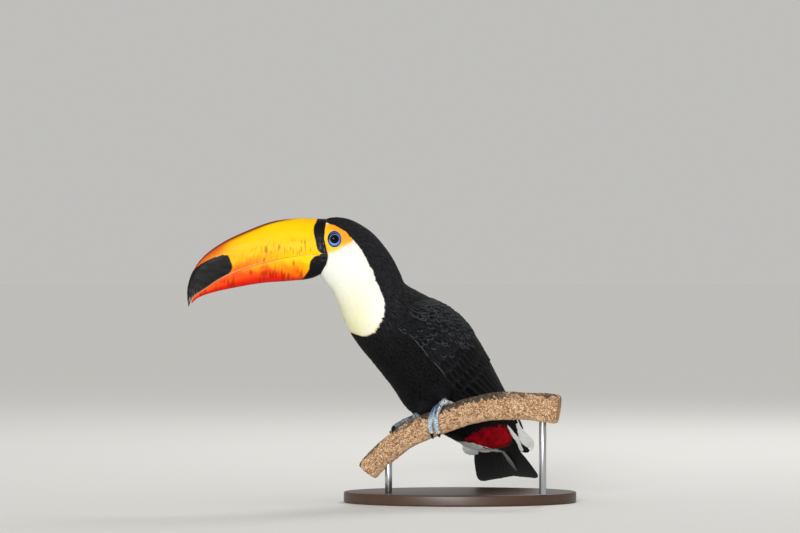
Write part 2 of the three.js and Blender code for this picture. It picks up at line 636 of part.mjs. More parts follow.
function wingTier(side, tier) {
  const between = ([first, last], share) => lerp(first, last, share);
  return Array.from({ length: tier.count }, (_, k) => {
    const share = k / (tier.count - 1);
    return bodyVane({
      root: { s: between(tier.root, share), angle: side * between(tier.rootAngle, share) },
      tip: { s: between(tier.tip, share), angle: side * between(tier.tipAngle, share) },
      halfWidth: tier.halfWidth * side,
      stand: tier.stand,
      rows: tier.rows,
      under: (s, angle) => wingHeight(s, side * angle),
    });
  });
}

for (const [name, side] of [['left', 1], ['right', -1]]) {
  const vanes = Object.values(WING_TIERS).flatMap((tier) => wingTier(side, tier));
  const wing = join([wingCore(side), ...vanes]).subtract(trunkCutter);
  bird.add(node(`wing_${name}`, wing, '#1b1b1f', 0.6));
}

// ---- perch, stand ----------------------------------------------------------------------------

const perchCurve = new THREE.CatmullRomCurve3(PERCH_LINE.map(([x, z]) => (
  vector(x, PERCH_PLACE.y + PERCH_PLACE.swing * x, z))));

function perchFrame(t) {
  const along = perchCurve.getTangentAt(t);
  const across = vector(0, 0, 1).cross(along).normalize();
  return { middle: perchCurve.getPointAt(t), along, across, up: along.clone().cross(across) };
}

function perchRing(t, grow = 0) {
  const { middle, across, up } = perchFrame(t);
  const radius = lerp(PERCH_RADIUS.left, PERCH_RADIUS.right, t) + grow;
  return Array.from({ length: PERCH_SEGMENTS }, (_, k) => {
    const angle = (2 * Math.PI * k) / PERCH_SEGMENTS;
    return middle.clone()
      .addScaledVector(across, radius * Math.cos(angle))
      .addScaledVector(up, radius * Math.sin(angle));
  });
}

function perchSolid(grow = 0) {
  return toSolid(loft(Array.from({ length: 25 }, (_, i) => perchRing(i / 24, grow))));
}

bird.add(node('perch', perchSolid(), '#b88757', 0.9));

/** Share of the perch's length at which its middle line passes a place along X. */
function perchShare(x) {
  let [low, high] = [0, 1];
  for (let step = 0; step < 30; step += 1) {
    const half = (low + high) / 2;
    if (perchCurve.getPointAt(half).x < x) low = half;
    else high = half;
  }
  return low;
}

/** A point round the perch, height above its bark. */
function perchPoint(x, angle, height) {
  const share = perchShare(x);
  const { middle, across, up } = perchFrame(share);
  const radius = lerp(PERCH_RADIUS.left, PERCH_RADIUS.right, share) + height;
  return middle.clone()
    .addScaledVector(across, radius * Math.cos(radians(angle)))
    .addScaledVector(up, radius * Math.sin(radians(angle)));
}

function standBase() {
  const shape = new THREE.Shape();
  shape.absellipse(0, 0, BASE.length / 2 - BASE.bevel, BASE.width / 2 - BASE.bevel, 0, 2 * Math.PI);
  const plate = new THREE.ExtrudeGeometry(shape, {
    depth: BASE.height - 2 * BASE.bevel,
    bevelThickness: BASE.bevel,
    bevelSize: BASE.bevel,
    bevelSegments: 1,
    curveSegments: 20,
  });
  return toSolid(plate.translate(0, 0, BASE.bevel));
}

// ---- legs and feet ---------------------------------------------------------------------------

/** A round bar through points, with a radius at each. */
function bar(points, radii, sides = TOE.sides) {
  const curve = new THREE.CatmullRomCurve3(points);
  const steps = points.length - 1;
  const { normals, binormals } = curve.computeFrenetFrames(steps, false);
  return toSolid(loft(points.map((_, i) => {
    const middle = curve.getPointAt(i / steps);
    return Array.from({ length: sides }, (_, k) => {
      const angle = (2 * Math.PI * k) / sides;
      return middle.clone()
        .addScaledVector(normals[i], radii[i] * Math.cos(angle))
        .addScaledVector(binormals[i], radii[i] * Math.sin(angle));
    });
  })));
}

/** Points of a path that wraps the perch from one place to another at a height above the bark. */
function wrap(from, to, steps, heightAt) {
  return Array.from({ length: steps + 1 }, (_, i) => {
    const t = i / steps;
    const x = lerp(from.x, to.x, Math.sin((t * Math.PI) / 2));
    return perchPoint(x, lerp(from.angle, to.angle, t), heightAt(t));
  });
}

function toe(hub, tip, grow = 0) {
  const radiusAt = (t) => lerp(TOE.radius, TOE.tipRadius, t) * (1 + 0.06 * Math.cos(t * 6 * Math.PI));
  const path = wrap(hub, tip, TOE.steps, (t) => radiusAt(t) + GAP + 0.25);
  const radii = path.map((_, i) => radiusAt(i / TOE.steps) + grow);
  const onward = path.at(-1).clone().sub(path.at(-2)).normalize();
  path.at(-1).addScaledVector(onward, grow);
  return bar(path, radii);
}

/** The claw carries on from the toe's end and curves in towards the bark. */
function claw(hub, tip) {
  const onward = Math.sign(tip.angle - hub.angle);
  const end = { x: tip.x + (tip.x - hub.x) * 0.12, angle: tip.angle + onward * CLAW.turn };
  const radiusAt = (t) => lerp(CLAW.radius, CLAW.tipRadius, t ** 1.4);
  const path = wrap(tip, end, CLAW.steps, (t) => lerp(TOE.tipRadius, CLAW.tipRadius, t) + GAP + 0.35);
  const horn = bar(path, path.map((_, i) => radiusAt(i / CLAW.steps)));
  return horn.subtract(toe(hub, tip, GAP));
}

const barkCutter = perchSolid(GAP);

for (const [name, leg] of Object.entries(FEET)) {
  const hub = perchPoint(leg.hub.x, leg.hub.angle, TOE.radius + GAP);
  const inwards = vector(...leg.towardsBody).normalize();
  const alongLeg = (distance) => hub.clone().addScaledVector(inwards, distance);
  const shank = (top, grow) => bar([top, top / 2, 0].map(alongLeg), [3.4 + grow, 3.4 + grow, 3.9 + grow]);
  const foot = (top, grow) => join([
    shank(top, grow),
    ...Object.values(leg.toes).map((tip) => toe(leg.hub, tip, grow)),
  ]);
  bird.add(node(`foot_${name}`, foot(THIGH.ankle - GAP, 0), '#9fc0d8', 0.6));
  for (const [toeName, tip] of Object.entries(leg.toes)) {
    bird.add(node(`claw_${name}_${toeName}`, claw(leg.hub, tip), '#1a1a1c', 0.4));
  }
  const radii = [1, 1, 0.86, 0.66].map((share) => THIGH.radius * share).concat(THIGH.ankleRadius);
  const places = radii.map((_, i) => lerp(THIGH.length, THIGH.ankle, i / (radii.length - 1)));
  const thigh = bar(places.map(alongLeg), radii, 14);
  const feathered = thigh.subtract(trunkCutter).subtract(barkCutter).subtract(foot(THIGH.ankle, GAP));
  bird.add(node(`thigh_${name}`, feathered, '#17171a', 0.9));
}

// ---- stand -----------------------------------------------------------------------------------

bird.add(node('stand_base', standBase(), '#3a2a1e', 0.5));
for (const [name, x] of Object.entries(RODS)) {
  const { y, z } = perchCurve.getPointAt(perchShare(x));
  const bottom = BASE.height + GAP;
  const rod = new THREE.CylinderGeometry(ROD_RADIUS, ROD_RADIUS, z - bottom, 20);
  rod.rotateX(Math.PI / 2).translate(x, y, (z + bottom) / 2);
  bird.add(node(name, toSolid(rod).subtract(barkCutter), '#b9bcc0', 0.3, 0.9));
}

export default bird;
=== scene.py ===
"""Looks of a still, life-size toco toucan on a cut branch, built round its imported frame.

Lengths are millimetres in the frame's own axes (+Z up, the bird's bill points along -X and its left
side faces -Y) until a mesh is written, which turns them into metres.
"""

from __future__ import annotations

import logging
import math
from collections.abc import Callable
from dataclasses import dataclass, field
from enum import Enum
from functools import partial

import bpy
import numpy as np
from bpy.types import Light, Material, Node, NodeSocket, NodeTree, Object
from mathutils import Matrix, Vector
from numpy import concatenate
from numpy.random import default_rng

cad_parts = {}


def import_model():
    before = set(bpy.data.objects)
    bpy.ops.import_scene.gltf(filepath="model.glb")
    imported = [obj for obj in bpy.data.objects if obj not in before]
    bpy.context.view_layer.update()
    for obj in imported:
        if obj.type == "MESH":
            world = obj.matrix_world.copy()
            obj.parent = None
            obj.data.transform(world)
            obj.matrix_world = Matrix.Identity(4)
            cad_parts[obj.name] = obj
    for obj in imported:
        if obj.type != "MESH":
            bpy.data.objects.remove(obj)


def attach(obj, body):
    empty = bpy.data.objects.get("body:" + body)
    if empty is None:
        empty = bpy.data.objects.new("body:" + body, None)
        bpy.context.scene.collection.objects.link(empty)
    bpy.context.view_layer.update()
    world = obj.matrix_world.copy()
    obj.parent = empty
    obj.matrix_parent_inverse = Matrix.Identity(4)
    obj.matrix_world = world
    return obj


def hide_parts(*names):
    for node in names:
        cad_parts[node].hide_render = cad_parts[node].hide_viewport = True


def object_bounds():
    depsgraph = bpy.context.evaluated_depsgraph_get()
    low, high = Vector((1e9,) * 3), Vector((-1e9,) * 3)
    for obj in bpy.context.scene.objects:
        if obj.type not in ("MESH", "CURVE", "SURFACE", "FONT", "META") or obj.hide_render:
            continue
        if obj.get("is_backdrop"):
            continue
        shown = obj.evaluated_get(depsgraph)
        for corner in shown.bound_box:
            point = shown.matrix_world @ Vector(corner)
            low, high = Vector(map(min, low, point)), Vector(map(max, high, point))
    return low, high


LOG = logging.getLogger("toucan")
METRES = 0.001

Array = np.ndarray
Pair = tuple[float, float]
Spot = tuple[float, float, float]
Place = Callable[[Array, Array, Array], Array]


class Side(Enum):
    """The bird's own left and right."""

    LEFT = 1
    RIGHT = -1

    @property
    def word(self) -> str:
        """The side's name as it stands in node names."""
        return self.name.lower()


class Region(Enum):
    """Kinds of surface on the body."""

    FACE = 0
    BIB = 1
    BLACK = 2
    WHITE = 3
    RED = 4


# ---- numbers ----


def rgb(hex_colour: str) -> Array:
    """Turns an sRGB hex colour into linear red, green and blue."""
    values = np.array([int(hex_colour[i : i + 2], 16) / 255 for i in (1, 3, 5)])
    return np.where(values <= 0.04045, values / 12.92, ((values + 0.055) / 1.055) ** 2.4)


def rgba(hex_colour: str) -> tuple[float, float, float, float]:
    """Turns an sRGB hex colour into a linear socket value."""
    red, green, blue = rgb(hex_colour)
    return (float(red), float(green), float(blue), 1.0)


def mix(a: Array | float, b: Array | float, t: Array | float) -> Array:
    """Blends from a to b."""
    return a + (b - a) * t


def step(low: float, high: float, x: Array) -> Array:
    """Rises smoothly from 0 at low to 1 at high."""
    t = np.clip((x - low) / (high - low), 0, 1)
    return t * t * (3 - 2 * t)


def tint(a: Array | str, b: Array | str, share: Array) -> Array:
    """Blends colours, hex codes or linear values, by a share for each place."""
    a, b = (rgb(colour) if isinstance(colour, str) else colour for colour in (a, b))
    return mix(a, b, share[..., None])


def pack(*parts: Array | float) -> Array:
    """Sets values side by side in a new last axis."""
    return np.stack(np.broadcast_arrays(*parts), -1)


def unit(vectors: Array) -> Array:
    """Vectors of the same directions, one long."""
    return vectors / np.linalg.norm(vectors, axis=-1, keepdims=True)


def once_round(count: int) -> Array:
    """Angles all round a ring, in radians."""
    return np.linspace(0, 2 * np.pi, count, endpoint=False)


def waves(points: Array, length: float, seed: int, count: int = 14) -> Array:
    """Smooth noise of about -1 to 1 over points, with bumps of roughly one length.

    Args:
        points: places, in millimetres, in the last axis.
        length: size of one bump, in millimetres.
        seed: chooses the pattern.
        count: number of waves that are added up.

    Returns:
        One value for each point.
    """
    rng = default_rng(seed)
    heading = unit(rng.normal(size=(count, 3)))
    rate = 2 * np.pi / (length * rng.uniform(0.7, 1.7, count))
    phase = rng.uniform(0, 2 * np.pi, count)
    total = np.zeros(points.shape[:-1])
    for k in range(count):
        total += np.cos(points @ heading[k] * rate[k] + phase[k])
    return total / math.sqrt(count / 2) / 1.6


def catmull(table: Array, x: Array) -> Array:
    """Smooth curve through the rows of a table, read at row numbers x.

    Args:
        table: rows of values.
        x: row numbers, with parts of rows.

    Returns:
        The curve's values.
    """
    last = len(table) - 1
    i = np.clip(np.floor(x).astype(int), 0, last - 1)
    a, b, c, d = (table[np.clip(i + k, 0, last)] for k in (-1, 0, 1, 2))
    f = (x - i)[..., None]
    slope = (c - a) / 2
    curve = (2 * a - 5 * b + 4 * c - d) / 2
    twist = (3 * b - 3 * c + d - a) / 2
    return b + slope * f + curve * f**2 + twist * f**3


def cells(a: Array, b: Array, wrap: int, seed: int) -> tuple[Array, Array]:
    """A pattern of irregular cells, such as scales or cork.

    Args:
        a: place along the surface, counted in cells.
        b: place round it, counted in cells.
        wrap: how many cells go round it.
        seed: chooses the pattern.

    Returns:
        Distance from the nearest border between cells, and a tone from 0 to 1 for each cell.
    """
    rng = default_rng(seed)
    a, b = np.broadcast_arrays(a, b)
    high = int(a.max()) + 4
    offset, tones = rng.uniform(0.02, 0.98, (high, wrap, 2)), rng.uniform(0, 1, (high, wrap))
    i, j = np.floor(a).astype(int), np.floor(b).astype(int)
    first, second, tone = np.full(a.shape, 9.0), np.full(a.shape, 9.0), np.zeros(a.shape)
    for di in (-1, 0, 1):
        for dj in (-1, 0, 1):
            ii, jj = np.clip(i + di + 1, 0, high - 1), np.mod(j + dj, wrap)
            gap = np.hypot(i + di + offset[ii, jj, 0] - a, j + dj + offset[ii, jj, 1] - b)
            closer = gap < first
            second = np.where(closer, first, np.minimum(second, gap))
            tone = np.where(closer, tones[ii, jj], tone)
            first = np.where(closer, gap, first)
    return second - first, tone


class Outline:
    """A smooth open line through points, read by share of its length."""

    def __init__(self, points: list[list[float]]) -> None:
        """Measures the line once.

        Args:
            points: places the line goes through.
        """
        table = np.array(points, float)
        self.line = catmull(table, np.linspace(0, len(table) - 1, 1200))
        gaps = np.linalg.norm(np.diff(self.line, axis=0), axis=1)
        self.length = float(gaps.sum())
        self.share = concatenate([[0], np.cumsum(gaps)]) / self.length

    def at(self, share: Array) -> Array:
        """Places at shares of the whole length."""
        return pack(*(np.interp(share, self.share, column) for column in self.line.T))


def inside(places: Array, corners: list[list[float]]) -> Array:
    """Signed distance of flat places to a closed outline, above 0 inside it.

    Args:
        places: u, v in the last axis.
        corners: the outline's corners.

    Returns:
        The distance for each place.
    """
    ring = np.array(corners, float)
    flat = places.reshape(-1, 2)
    best = np.full(len(flat), 1e9)
    within = np.zeros(len(flat), bool)
    for a, b in zip(ring, np.roll(ring, -1, axis=0), strict=True):
        edge = b - a
        away = flat - a
        t = np.clip(away @ edge / max(edge @ edge, 1e-9), 0, 1)
        best = np.minimum(best, np.linalg.norm(away - t[:, None] * edge, axis=1))
        if a[1] != b[1]:
            crosses = (a[1] > flat[:, 1]) != (b[1] > flat[:, 1])
            within ^= crosses & (flat[:, 0] < a[0] + (flat[:, 1] - a[1]) * edge[0] / edge[1])
    return np.where(within, best, -best).reshape(places.shape[:-1])


# ---- the bird's form ----

# x, y, z, yaw, tilt, half depth and half width of each section from the face to the tail's root.
STATIONS = np.array(
    [
        [-186, -73, 327, 6, 7, 38.3, 21.5],
        [-175, -72, 329.5, 6, 8, 36.7, 24],
        [-166, -71, 327.5, 6, 14, 40.5, 26.5],
        [-156, -70, 323, 8, 20, 43.6, 28.5],
        [-145.5, -69, 316, 10, 26, 45, 30.5],
        [-136, -67, 306.5, 13, 32, 46.5, 32.5],
        [-127, -65, 294, 17, 38.5, 46.9, 34],
        [-119.5, -62, 281, 22, 44.5, 47, 36],
        [-113, -58, 266, 27, 48.5, 47, 38.5],
        [-107.5, -53, 254, 32, 50, 46.5, 41.5],
        [-91.5, -44, 238, 35, 48, 52, 46],
        [-72.3, -30, 221.4, 37, 45, 57, 49.5],
        [-55, -17, 204, 37, 44, 60, 51.5],
        [-39.4, -4, 185.5, 37, 44, 61.5, 52.5],
        [-27, 6, 166, 37, 44, 61.5, 52],
        [-14.6, 15, 150.7, 37, 44, 59, 49.5],
        [-1, 25, 133, 41, 44, 54, 47],
        [15.6, 39, 115, 50, 42, 45, 44],
        [32.8, 61, 95, 65, 37, 34, 42],
        [45, 84, 76.5, 78, 33, 23, 42],
        [52, 107, 62, 84, 31, 11, 40],
    ],
    float,
)
LAST = len(STATIONS) - 1
FULLNESS = 0.94

# The folded wing: its stations, the angles of its borders, and its thickness over the flank.
WING_START, WING_END = 10.3, 18.7
WING_LOW = (119, 99)
WING_HIGH = 17
WING_TIP = 50
WING_THICKNESS = 6

# Borders of the markings, in the head's own u (forwards) and v (up).
BILL_SEAM = [
    [11, 34], [11.1, 22.5], [12.5, 13], [13.2, 0.6], [10.7, -8.1], [7.3, -21.4], [7.8, -26.5],
    [10.4, -35.9], [20.3, -45.5], [31, -56], [31, -120], [260, -120], [260, 34],
]
FACE_PATCH = [
    [11.4, 21.9], [6.1, 19.5], [-0.4, 17.7], [-6.7, 14.1], [-14.7, 9.6], [-18.8, 4.1], [-23.7, -0.5],
    [-21.5, -3.4], [-16, -6.1], [-10.4, -8.9], [-4.9, -12.1], [0.6, -14.9], [6.3, -16.5],
    [15.2, -17.8], [40, -17.8], [40, 21.9],
]
BIB_PATCH = [
    [9, -17], [0.6, -14.9], [-10.4, -8.9], [-16, -6.1], [-23.7, -0.1], [-28, -4.5], [-31.3, -8.8],
    [-34.7, -13.2], [-37.2, -17.6], [-40.7, -23.7], [-43.5, -29.6], [-45.7, -35.1], [-50, -40.4],
    [-51.2, -45], [-53.3, -51.5], [-55.5, -57], [-59.5, -65.8], [-61.5, -70.7], [-64.3, -76.7],
    [-65.4, -84.4], [-65, -92.1], [-62.1, -99.7], [-59.5, -106.3], [-55.5, -112.8], [-51.7, -118.9],
    [-45.7, -122.2], [-39, -124.6], [-32.5, -124.6], [-27, -122.7], [-18, -119], [30, -119], [80, -119],
    [80, -17],
]
CULMEN = [
    [0, 25.5], [21.6, 26.2], [50, 26.6], [80, 22.4], [110, 11.5], [140, -2.5], [165, -20],
    [180, -39], [187, -58.5], [188, -75], [186, -86.5],
]
TOMIUM = [
    [0, -17.6], [25, -19], [51, -21.6], [78, -26.5], [102, -33.3], [126, -41.5], [147, -51.4],
    [163, -62], [177.6, -71.6], [183, -79], [186, -87.3],
]
GONYS = [
    [0, -33], [14, -42], [31.8, -50.1], [60, -53.2], [96, -56.1], [140, -64], [163, -69.8],
    [175, -75], [182.4, -81.6],
]
TIP_SPOT = [
    [178.9, -38.4], [172.5, -32.7], [166.1, -29], [159.7, -25.8], [153.3, -23.1], [146.9, -21.7],
    [142.5, -20], [139.3, -20.1], [135.9, -20.7], [134.1, -23], [132.9, -27.1], [131.3, -30.3],
    [130.2, -34.3], [131.3, -38], [134.1, -42.1], [140.5, -45.3], [146.9, -49.7], [153.3, -54.2],
    [159.7, -58.6], [163.6, -61.2], [169.3, -64.6], [175, -68], [181, -76], [186, -90], [196, -90],
    [192, -60], [186, -48],
]
UPPER_BAND = [
    [22.6, 40], [22.6, 25.1], [24, 21.1], [26.2, 17.4], [27, 12.3], [26.6, 7.2], [25.4, 2], [24, -3.6],
    [23.3, -8.1], [22.1, -12.5], [20.3, -15.4], [17.8, -17.3], [14, -19.5], [0, -24], [-10, -24],
    [-10, 40],
]
LOWER_BAND = [
    [16, -14], [19, -20.1], [25.4, -21.6], [28, -24.2], [30.9, -27.7], [32.1, -32.8], [32.5, -37.9],
    [35.4, -43], [37.6, -46], [40.2, -49.3], [42.7, -51.4], [46, -60], [-10, -60], [-10, -14],
]


class BodyForm:
    """The trunk: a smooth row of sections from the face to the root of the tail."""

    def fields(self, s: Array) -> Array:
        """Place, turn and size of the sections at station numbers s."""
        return catmull(STATIONS, s)

    def point(self, s: Array, angle: Array, height: Array | float = 0.0) -> Array:
        """Places on the body.

        Args:
            s: station numbers.
            angle: degrees round the section, 0 on the back, 90 on the left, 180 on the belly.
            height: distance out from the form.

        Returns:
            Places with x, y, z in a new last axis.
        """
        s, angle, height = np.broadcast_arrays(s, angle, height)
        row = self.fields(s)
        yaw, tilt, turn = np.radians(row[..., 3]), np.radians(row[..., 4]), np.radians(angle)
        left = pack(np.sin(yaw), -np.cos(yaw), 0)
        back = pack(np.sin(tilt) * np.cos(yaw), np.sin(tilt) * np.sin(yaw), np.cos(tilt))
        sine, cosine = np.sin(turn), np.cos(turn)
        out = (row[..., 6] + height) * np.sign(sine) * np.abs(sine) ** FULLNESS
        up = (row[..., 5] + height) * np.sign(cosine) * np.abs(cosine) ** FULLNESS
        return row[..., :3] + left * out[..., None] + back * up[..., None]

    def scale(self, s: Array, angle: Array) -> tuple[Array, Array]:
        """Millimetres for one station and for one degree at places on the body.

        Args:
            s: station numbers.
            angle: degrees round the section.

        Returns:
            Both lengths for each place.
        """
        ds, da = 0.05, 1.0
        along = np.linalg.norm(self.point(s + ds, angle) - self.point(s - ds, angle), axis=-1) / (2 * ds)
        across = np.linalg.norm(self.point(s, angle + da) - self.point(s, angle - da), axis=-1) / (2 * da)
        return np.maximum(along, 4.0), np.maximum(across, 0.25)

    def wing_borders(self, t: Array) -> tuple[Array, Array]:
        """Upper and lower angles of the folded wing at shares of its length.

        Args:
            t: shares of the wing's length.

        Returns:
            The angles in degrees.
        """
        bend = np.sin(np.pi * np.minimum(1, t * 1.9 + 0.06) / 2) ** 0.6
        edge = mix(*WING_LOW, np.minimum(1, t / 0.65))
        lower = mix(mix(76, edge, bend), WING_TIP + 8, np.clip((t - 0.65) / 0.35, 0, 1) ** 1.3)
        upper = mix(mix(50, WING_HIGH, bend), WING_TIP - 8, np.clip((t - 0.62) / 0.38, 0, 1) ** 1.6)
        return upper, lower

    def wing_height(self, s: Array, angle: Array) -> Array:
        """Height of the wing's core over the body, for angles from 0 to 180.

        Args:
            s: station numbers.
            angle: degrees round the section.

        Returns:
            The height in millimetres.
        """
        t = np.clip((s - WING_START) / (WING_END - WING_START), 0, 1)
        upper, lower = self.wing_borders(t)
        q = np.clip(2 * (angle - upper) / (lower - upper) - 1, -1, 1)
        return 1 + WING_THICKNESS * (1 - 0.55 * t) * np.sqrt(1 - q**4) * step(-0.05, 0.16, t)

    def taper(self, s: Array, angle: Array) -> Array:
        """How far the underside draws in to the tail, behind the red coverts.

        Args:
            s: station numbers.
            angle: degrees round the section.

        Returns:
            The depth in millimetres.
        """
        turn = np.mod(angle, 360)
        below = step(98, 122, turn) * step(238, 206, turn)
        return 9.0 * step(18.05, 18.95, s) * below

    def wing_cover(self, s: Array, angle: Array) -> Array:
        """How far inside the folded wing a place lies: 1 well inside, 0 outside.

        Args:
            s: station numbers.
            angle: degrees round the section.

        Returns:
            A share for each place.
        """
        t = (s - WING_START) / (WING_END - WING_START)
        half = 180 - np.abs(np.mod(angle, 360) - 180)
        upper, lower = self.wing_borders(np.clip(t, 0, 1))
        q = np.abs(2 * (half - upper) / (lower - upper) - 1)
        return step(1.0, 0.72, q) * step(0.0, 0.08, t) * step(1.0, 0.93, t)


class HeadFrame:
    """The head's own u (forwards), v (up) and w (left)."""

    middle = np.array([-160.2, -70.4, 338.8])
    yaw = math.radians(6)
    forward = np.array([-math.cos(yaw), -math.sin(yaw), 0.0])
    left = np.array([math.sin(yaw), -math.cos(yaw), 0.0])
    up = np.array([0.0, 0.0, 1.0])

    def point(self, u: Array, v: Array, w: Array) -> Array:
        """Places in the frame's axes."""
        u, v, w = (np.asarray(x, float)[..., None] for x in np.broadcast_arrays(u, v, w))
        return self.middle + u * self.forward + w * self.left + v * self.up

    def coordinates(self, points: Array) -> Array:
        """u, v, w of places."""
        away = points - self.middle
        return pack(away @ self.forward, away @ self.up, away @ self.left)

    def chart(self, points: Array) -> Array:
        """Flat u, v of places on either side, drawn square to the row's own front."""
        u, v, w = np.moveaxis(self.coordinates(points), -1, 0)
        return pack(u - np.abs(w) * math.tan(self.yaw), v)


class TailForm:
    """The tail's own plane: along it, across it and height above it."""

    def __init__(self, behind: float = 52.0, camber: float = 330.0) -> None:
        """Sets the plane up behind the last section.

        Args:
            behind: how far inside the body the tail's root lies.
            camber: how gently the fan curves down to its sides.
        """
        end = STATIONS[-1]
        yaw = math.radians(end[3])
        left = np.array([math.sin(yaw), -math.cos(yaw), 0.0])
        along = np.array([0.215, 0.86, -0.45])
        self.along = along / np.linalg.norm(along)
        left = left - self.along * (left @ self.along)
        self.left = left / np.linalg.norm(left)
        self.up = np.cross(self.left, self.along)
        self.origin = end[:3] - behind * self.along
        self.camber = camber

    def point(self, along: Array, across: Array, height: Array) -> Array:
        """Places in the frame's axes.

        Args:
            along: distance from the root.
            across: distance to the left.
            height: distance over the fan.

        Returns:
            Places with x, y, z in a new last axis.
        """
        along, across, height = np.broadcast_arrays(along, across, height)
        rise = height - across**2 / self.camber
        flat = self.origin + along[..., None] * self.along + across[..., None] * self.left
        return flat + rise[..., None] * self.up


class Markings:
    """Where the plumage changes colour, the same for the skin and for the feathers on it."""

    # Border of the red coverts on one side: station times 20, and angle.
    red = [
        [346, 190], [341, 169], [336, 146], [338, 129], [342, 116], [347, 105], [352, 99], [357, 101],
        [363, 110], [369, 123], [377, 142], [377, 160], [366, 163], [356, 164], [348, 170],
    ]

    def __init__(self, head: HeadFrame) -> None:
        """Keeps the head's frame for the face and the bib."""
        self.head = head

    def depths(self, points: Array) -> tuple[Array, Array]:
        """How far inside the face patch and the bib places lie."""
        flat = self.head.chart(points)
        return inside(flat, FACE_PATCH), inside(flat, BIB_PATCH)

    def region(self, points: Array, s: Array, angle: Array) -> Array:
        """The Region number of places on the body.

        Args:
            points: the places.
            s: station numbers.
            angle: degrees round the section.

        Returns:
            The number for each place.
        """
        face, bib = self.depths(points)
        turn = np.mod(angle, 360)
        half = 180 - np.abs(turn - 180)
        late = 9 * step(178, 186, turn) * step(214, 206, turn)
        red = inside(pack(s * 20 - late, half), self.red) > 0
        border = np.interp(s, [17.25, 17.42, 17.86, 18.9], [188, 172, 166, 170])
        below = (turn > border) & (turn < 206) & (s > 17.25)
        above = (half < np.interp(s, [17.0, 18.4, 19.4], [40, 58, 66])) & (s > 17.1)
        found = np.full(s.shape, Region.BLACK.value)
        found[red] = Region.RED.value
        found[below | above] = Region.WHITE.value
        found[(bib > 0) & (s < 12)] = Region.BIB.value
        found[(face > 0) & (s < 6)] = Region.FACE.value
        return found

    def colour(self, points: Array, s: Array, angle: Array) -> Array:
        """Colours of skin or feathers at places on the body.

        Args:
            points: the places.
            s: station numbers.
            angle: degrees round the section.

        Returns:
            Linear colours.
        """
        flat = self.head.chart(points)
        region = self.region(points, s, angle)
        face, bib = inside(flat, FACE_PATCH), inside(flat, BIB_PATCH)
        u, v = flat[..., 0], flat[..., 1]
        cream = tint("#F5F3E9", "#F1EBBE", step(-30, -112, v) * step(-62, -24, u))
        cream = tint(cream, "#EFD3A0", 0.8 * step(9.0, 0.5, bib) * step(-92, -112, v))
        cream = tint(cream, "#FFDDA6", 0.9 * step(-7.0, -0.3, face + 0.8 * waves(points, 5, 33)))
        cream = tint(cream, "#FFC3AC", 0.45 * step(-5.0, 0.0, face) * step(-2, -12, u))
        bare = tint("#FFC41C", "#F5A222", step(-10, 14, v - 1.6 * u))
        bare = tint(bare, "#FFCE50", 0.8 * step(5.0, 0.0, face) * step(2, -10, v))
        bare = tint(bare, "#F3DCCB", 0.9 * step(3.4, 1.6, np.hypot(u - 9.4, (v - 20.6) * 1.4)))
        tones = {
            Region.BLACK: tint("#1D1D1F", "#080809", step(8.4, 10.8, s)),
            Region.WHITE: np.broadcast_to(rgb("#F1EFE9"), bare.shape),
            Region.RED: tint("#7E0510", "#A40C19", 0.5 + 0.5 * waves(points, 9, 31)),
            Region.BIB: cream,
            Region.FACE: bare,
        }
        found = np.zeros(bare.shape)
        for kind, tone in tones.items():
            chosen = region == kind.value
            found[chosen] = tone[chosen]
        return found


# ---- meshes ----


@dataclass
class Shell:
    """Points and faces of closed surfaces, with what the materials read from them."""

    points: Array
    quads: Array
    tris: Array
    colour: Array | None = None
    vane: Array | None = None
    chart: Array | None = None
    grain: Array | None = None

    def outward(self) -> Shell:
        """Turns the faces so that the whole encloses a volume above 0.

        Returns:
            The shell itself.
        """
        total = 0.0
        for corners in (self.quads[:, [0, 1, 2]], self.quads[:, [0, 2, 3]], self.tris):
            if len(corners):
                a, b, c = (self.points[corners[:, k]] for k in range(3))
                total += float(np.einsum("ij,ij->i", a, np.cross(b, c)).sum())
        if total < 0:
            self.quads = self.quads[:, ::-1]
            self.tris = self.tris[:, ::-1]
        return self

    def dyed(self, colour: Array | str, ends: Array | None = None) -> Shell:
        """Gives every point a colour.

        Args:
            colour: one hex colour, or the colours of the rings of points.
            ends: colours of the two end points, or else the means of their rings.

        Returns:
            The shell itself.
        """
        if isinstance(colour, str):
            self.colour = np.tile(rgb(colour), (len(self.points), 1))
        else:
            ends = np.stack([colour[0].mean(0), colour[-1].mean(0)]) if ends is None else ends
            self.colour = concatenate([colour.reshape(-1, 3), ends])
        return self


def lattice(count: int, size: int, closed: bool = False) -> Array:
    """Faces between rings of points.

    Args:
        count: number of rings.
        size: points on each.
        closed: whether the last ring meets the first.

    Returns:
        Four corner numbers for each face.
    """
    i, j = np.meshgrid(np.arange(count if closed else count - 1), np.arange(size), indexing="ij")
    k, n = (j + 1) % size, (i + 1) % count
    return pack(i * size + j, i * size + k, n * size + k, n * size + j).reshape(-1, 4)


def loft(rings: Array) -> Shell:
    """A closed surface through rings of points, closed by a fan at each end.

    Args:
        rings: places, as rings, points on a ring and x, y, z.

    Returns:
        The surface, with its normals outwards.
    """
    count, size, _ = rings.shape
    points = concatenate([rings.reshape(-1, 3), rings[0].mean(0)[None], rings[-1].mean(0)[None]])
    j = np.arange(size)
    k = (j + 1) % size
    first = pack(count * size, k, j)
    final = pack(count * size + 1, (count - 1) * size + j, (count - 1) * size + k)
    return Shell(points, lattice(count, size), concatenate([first, final])).outward()


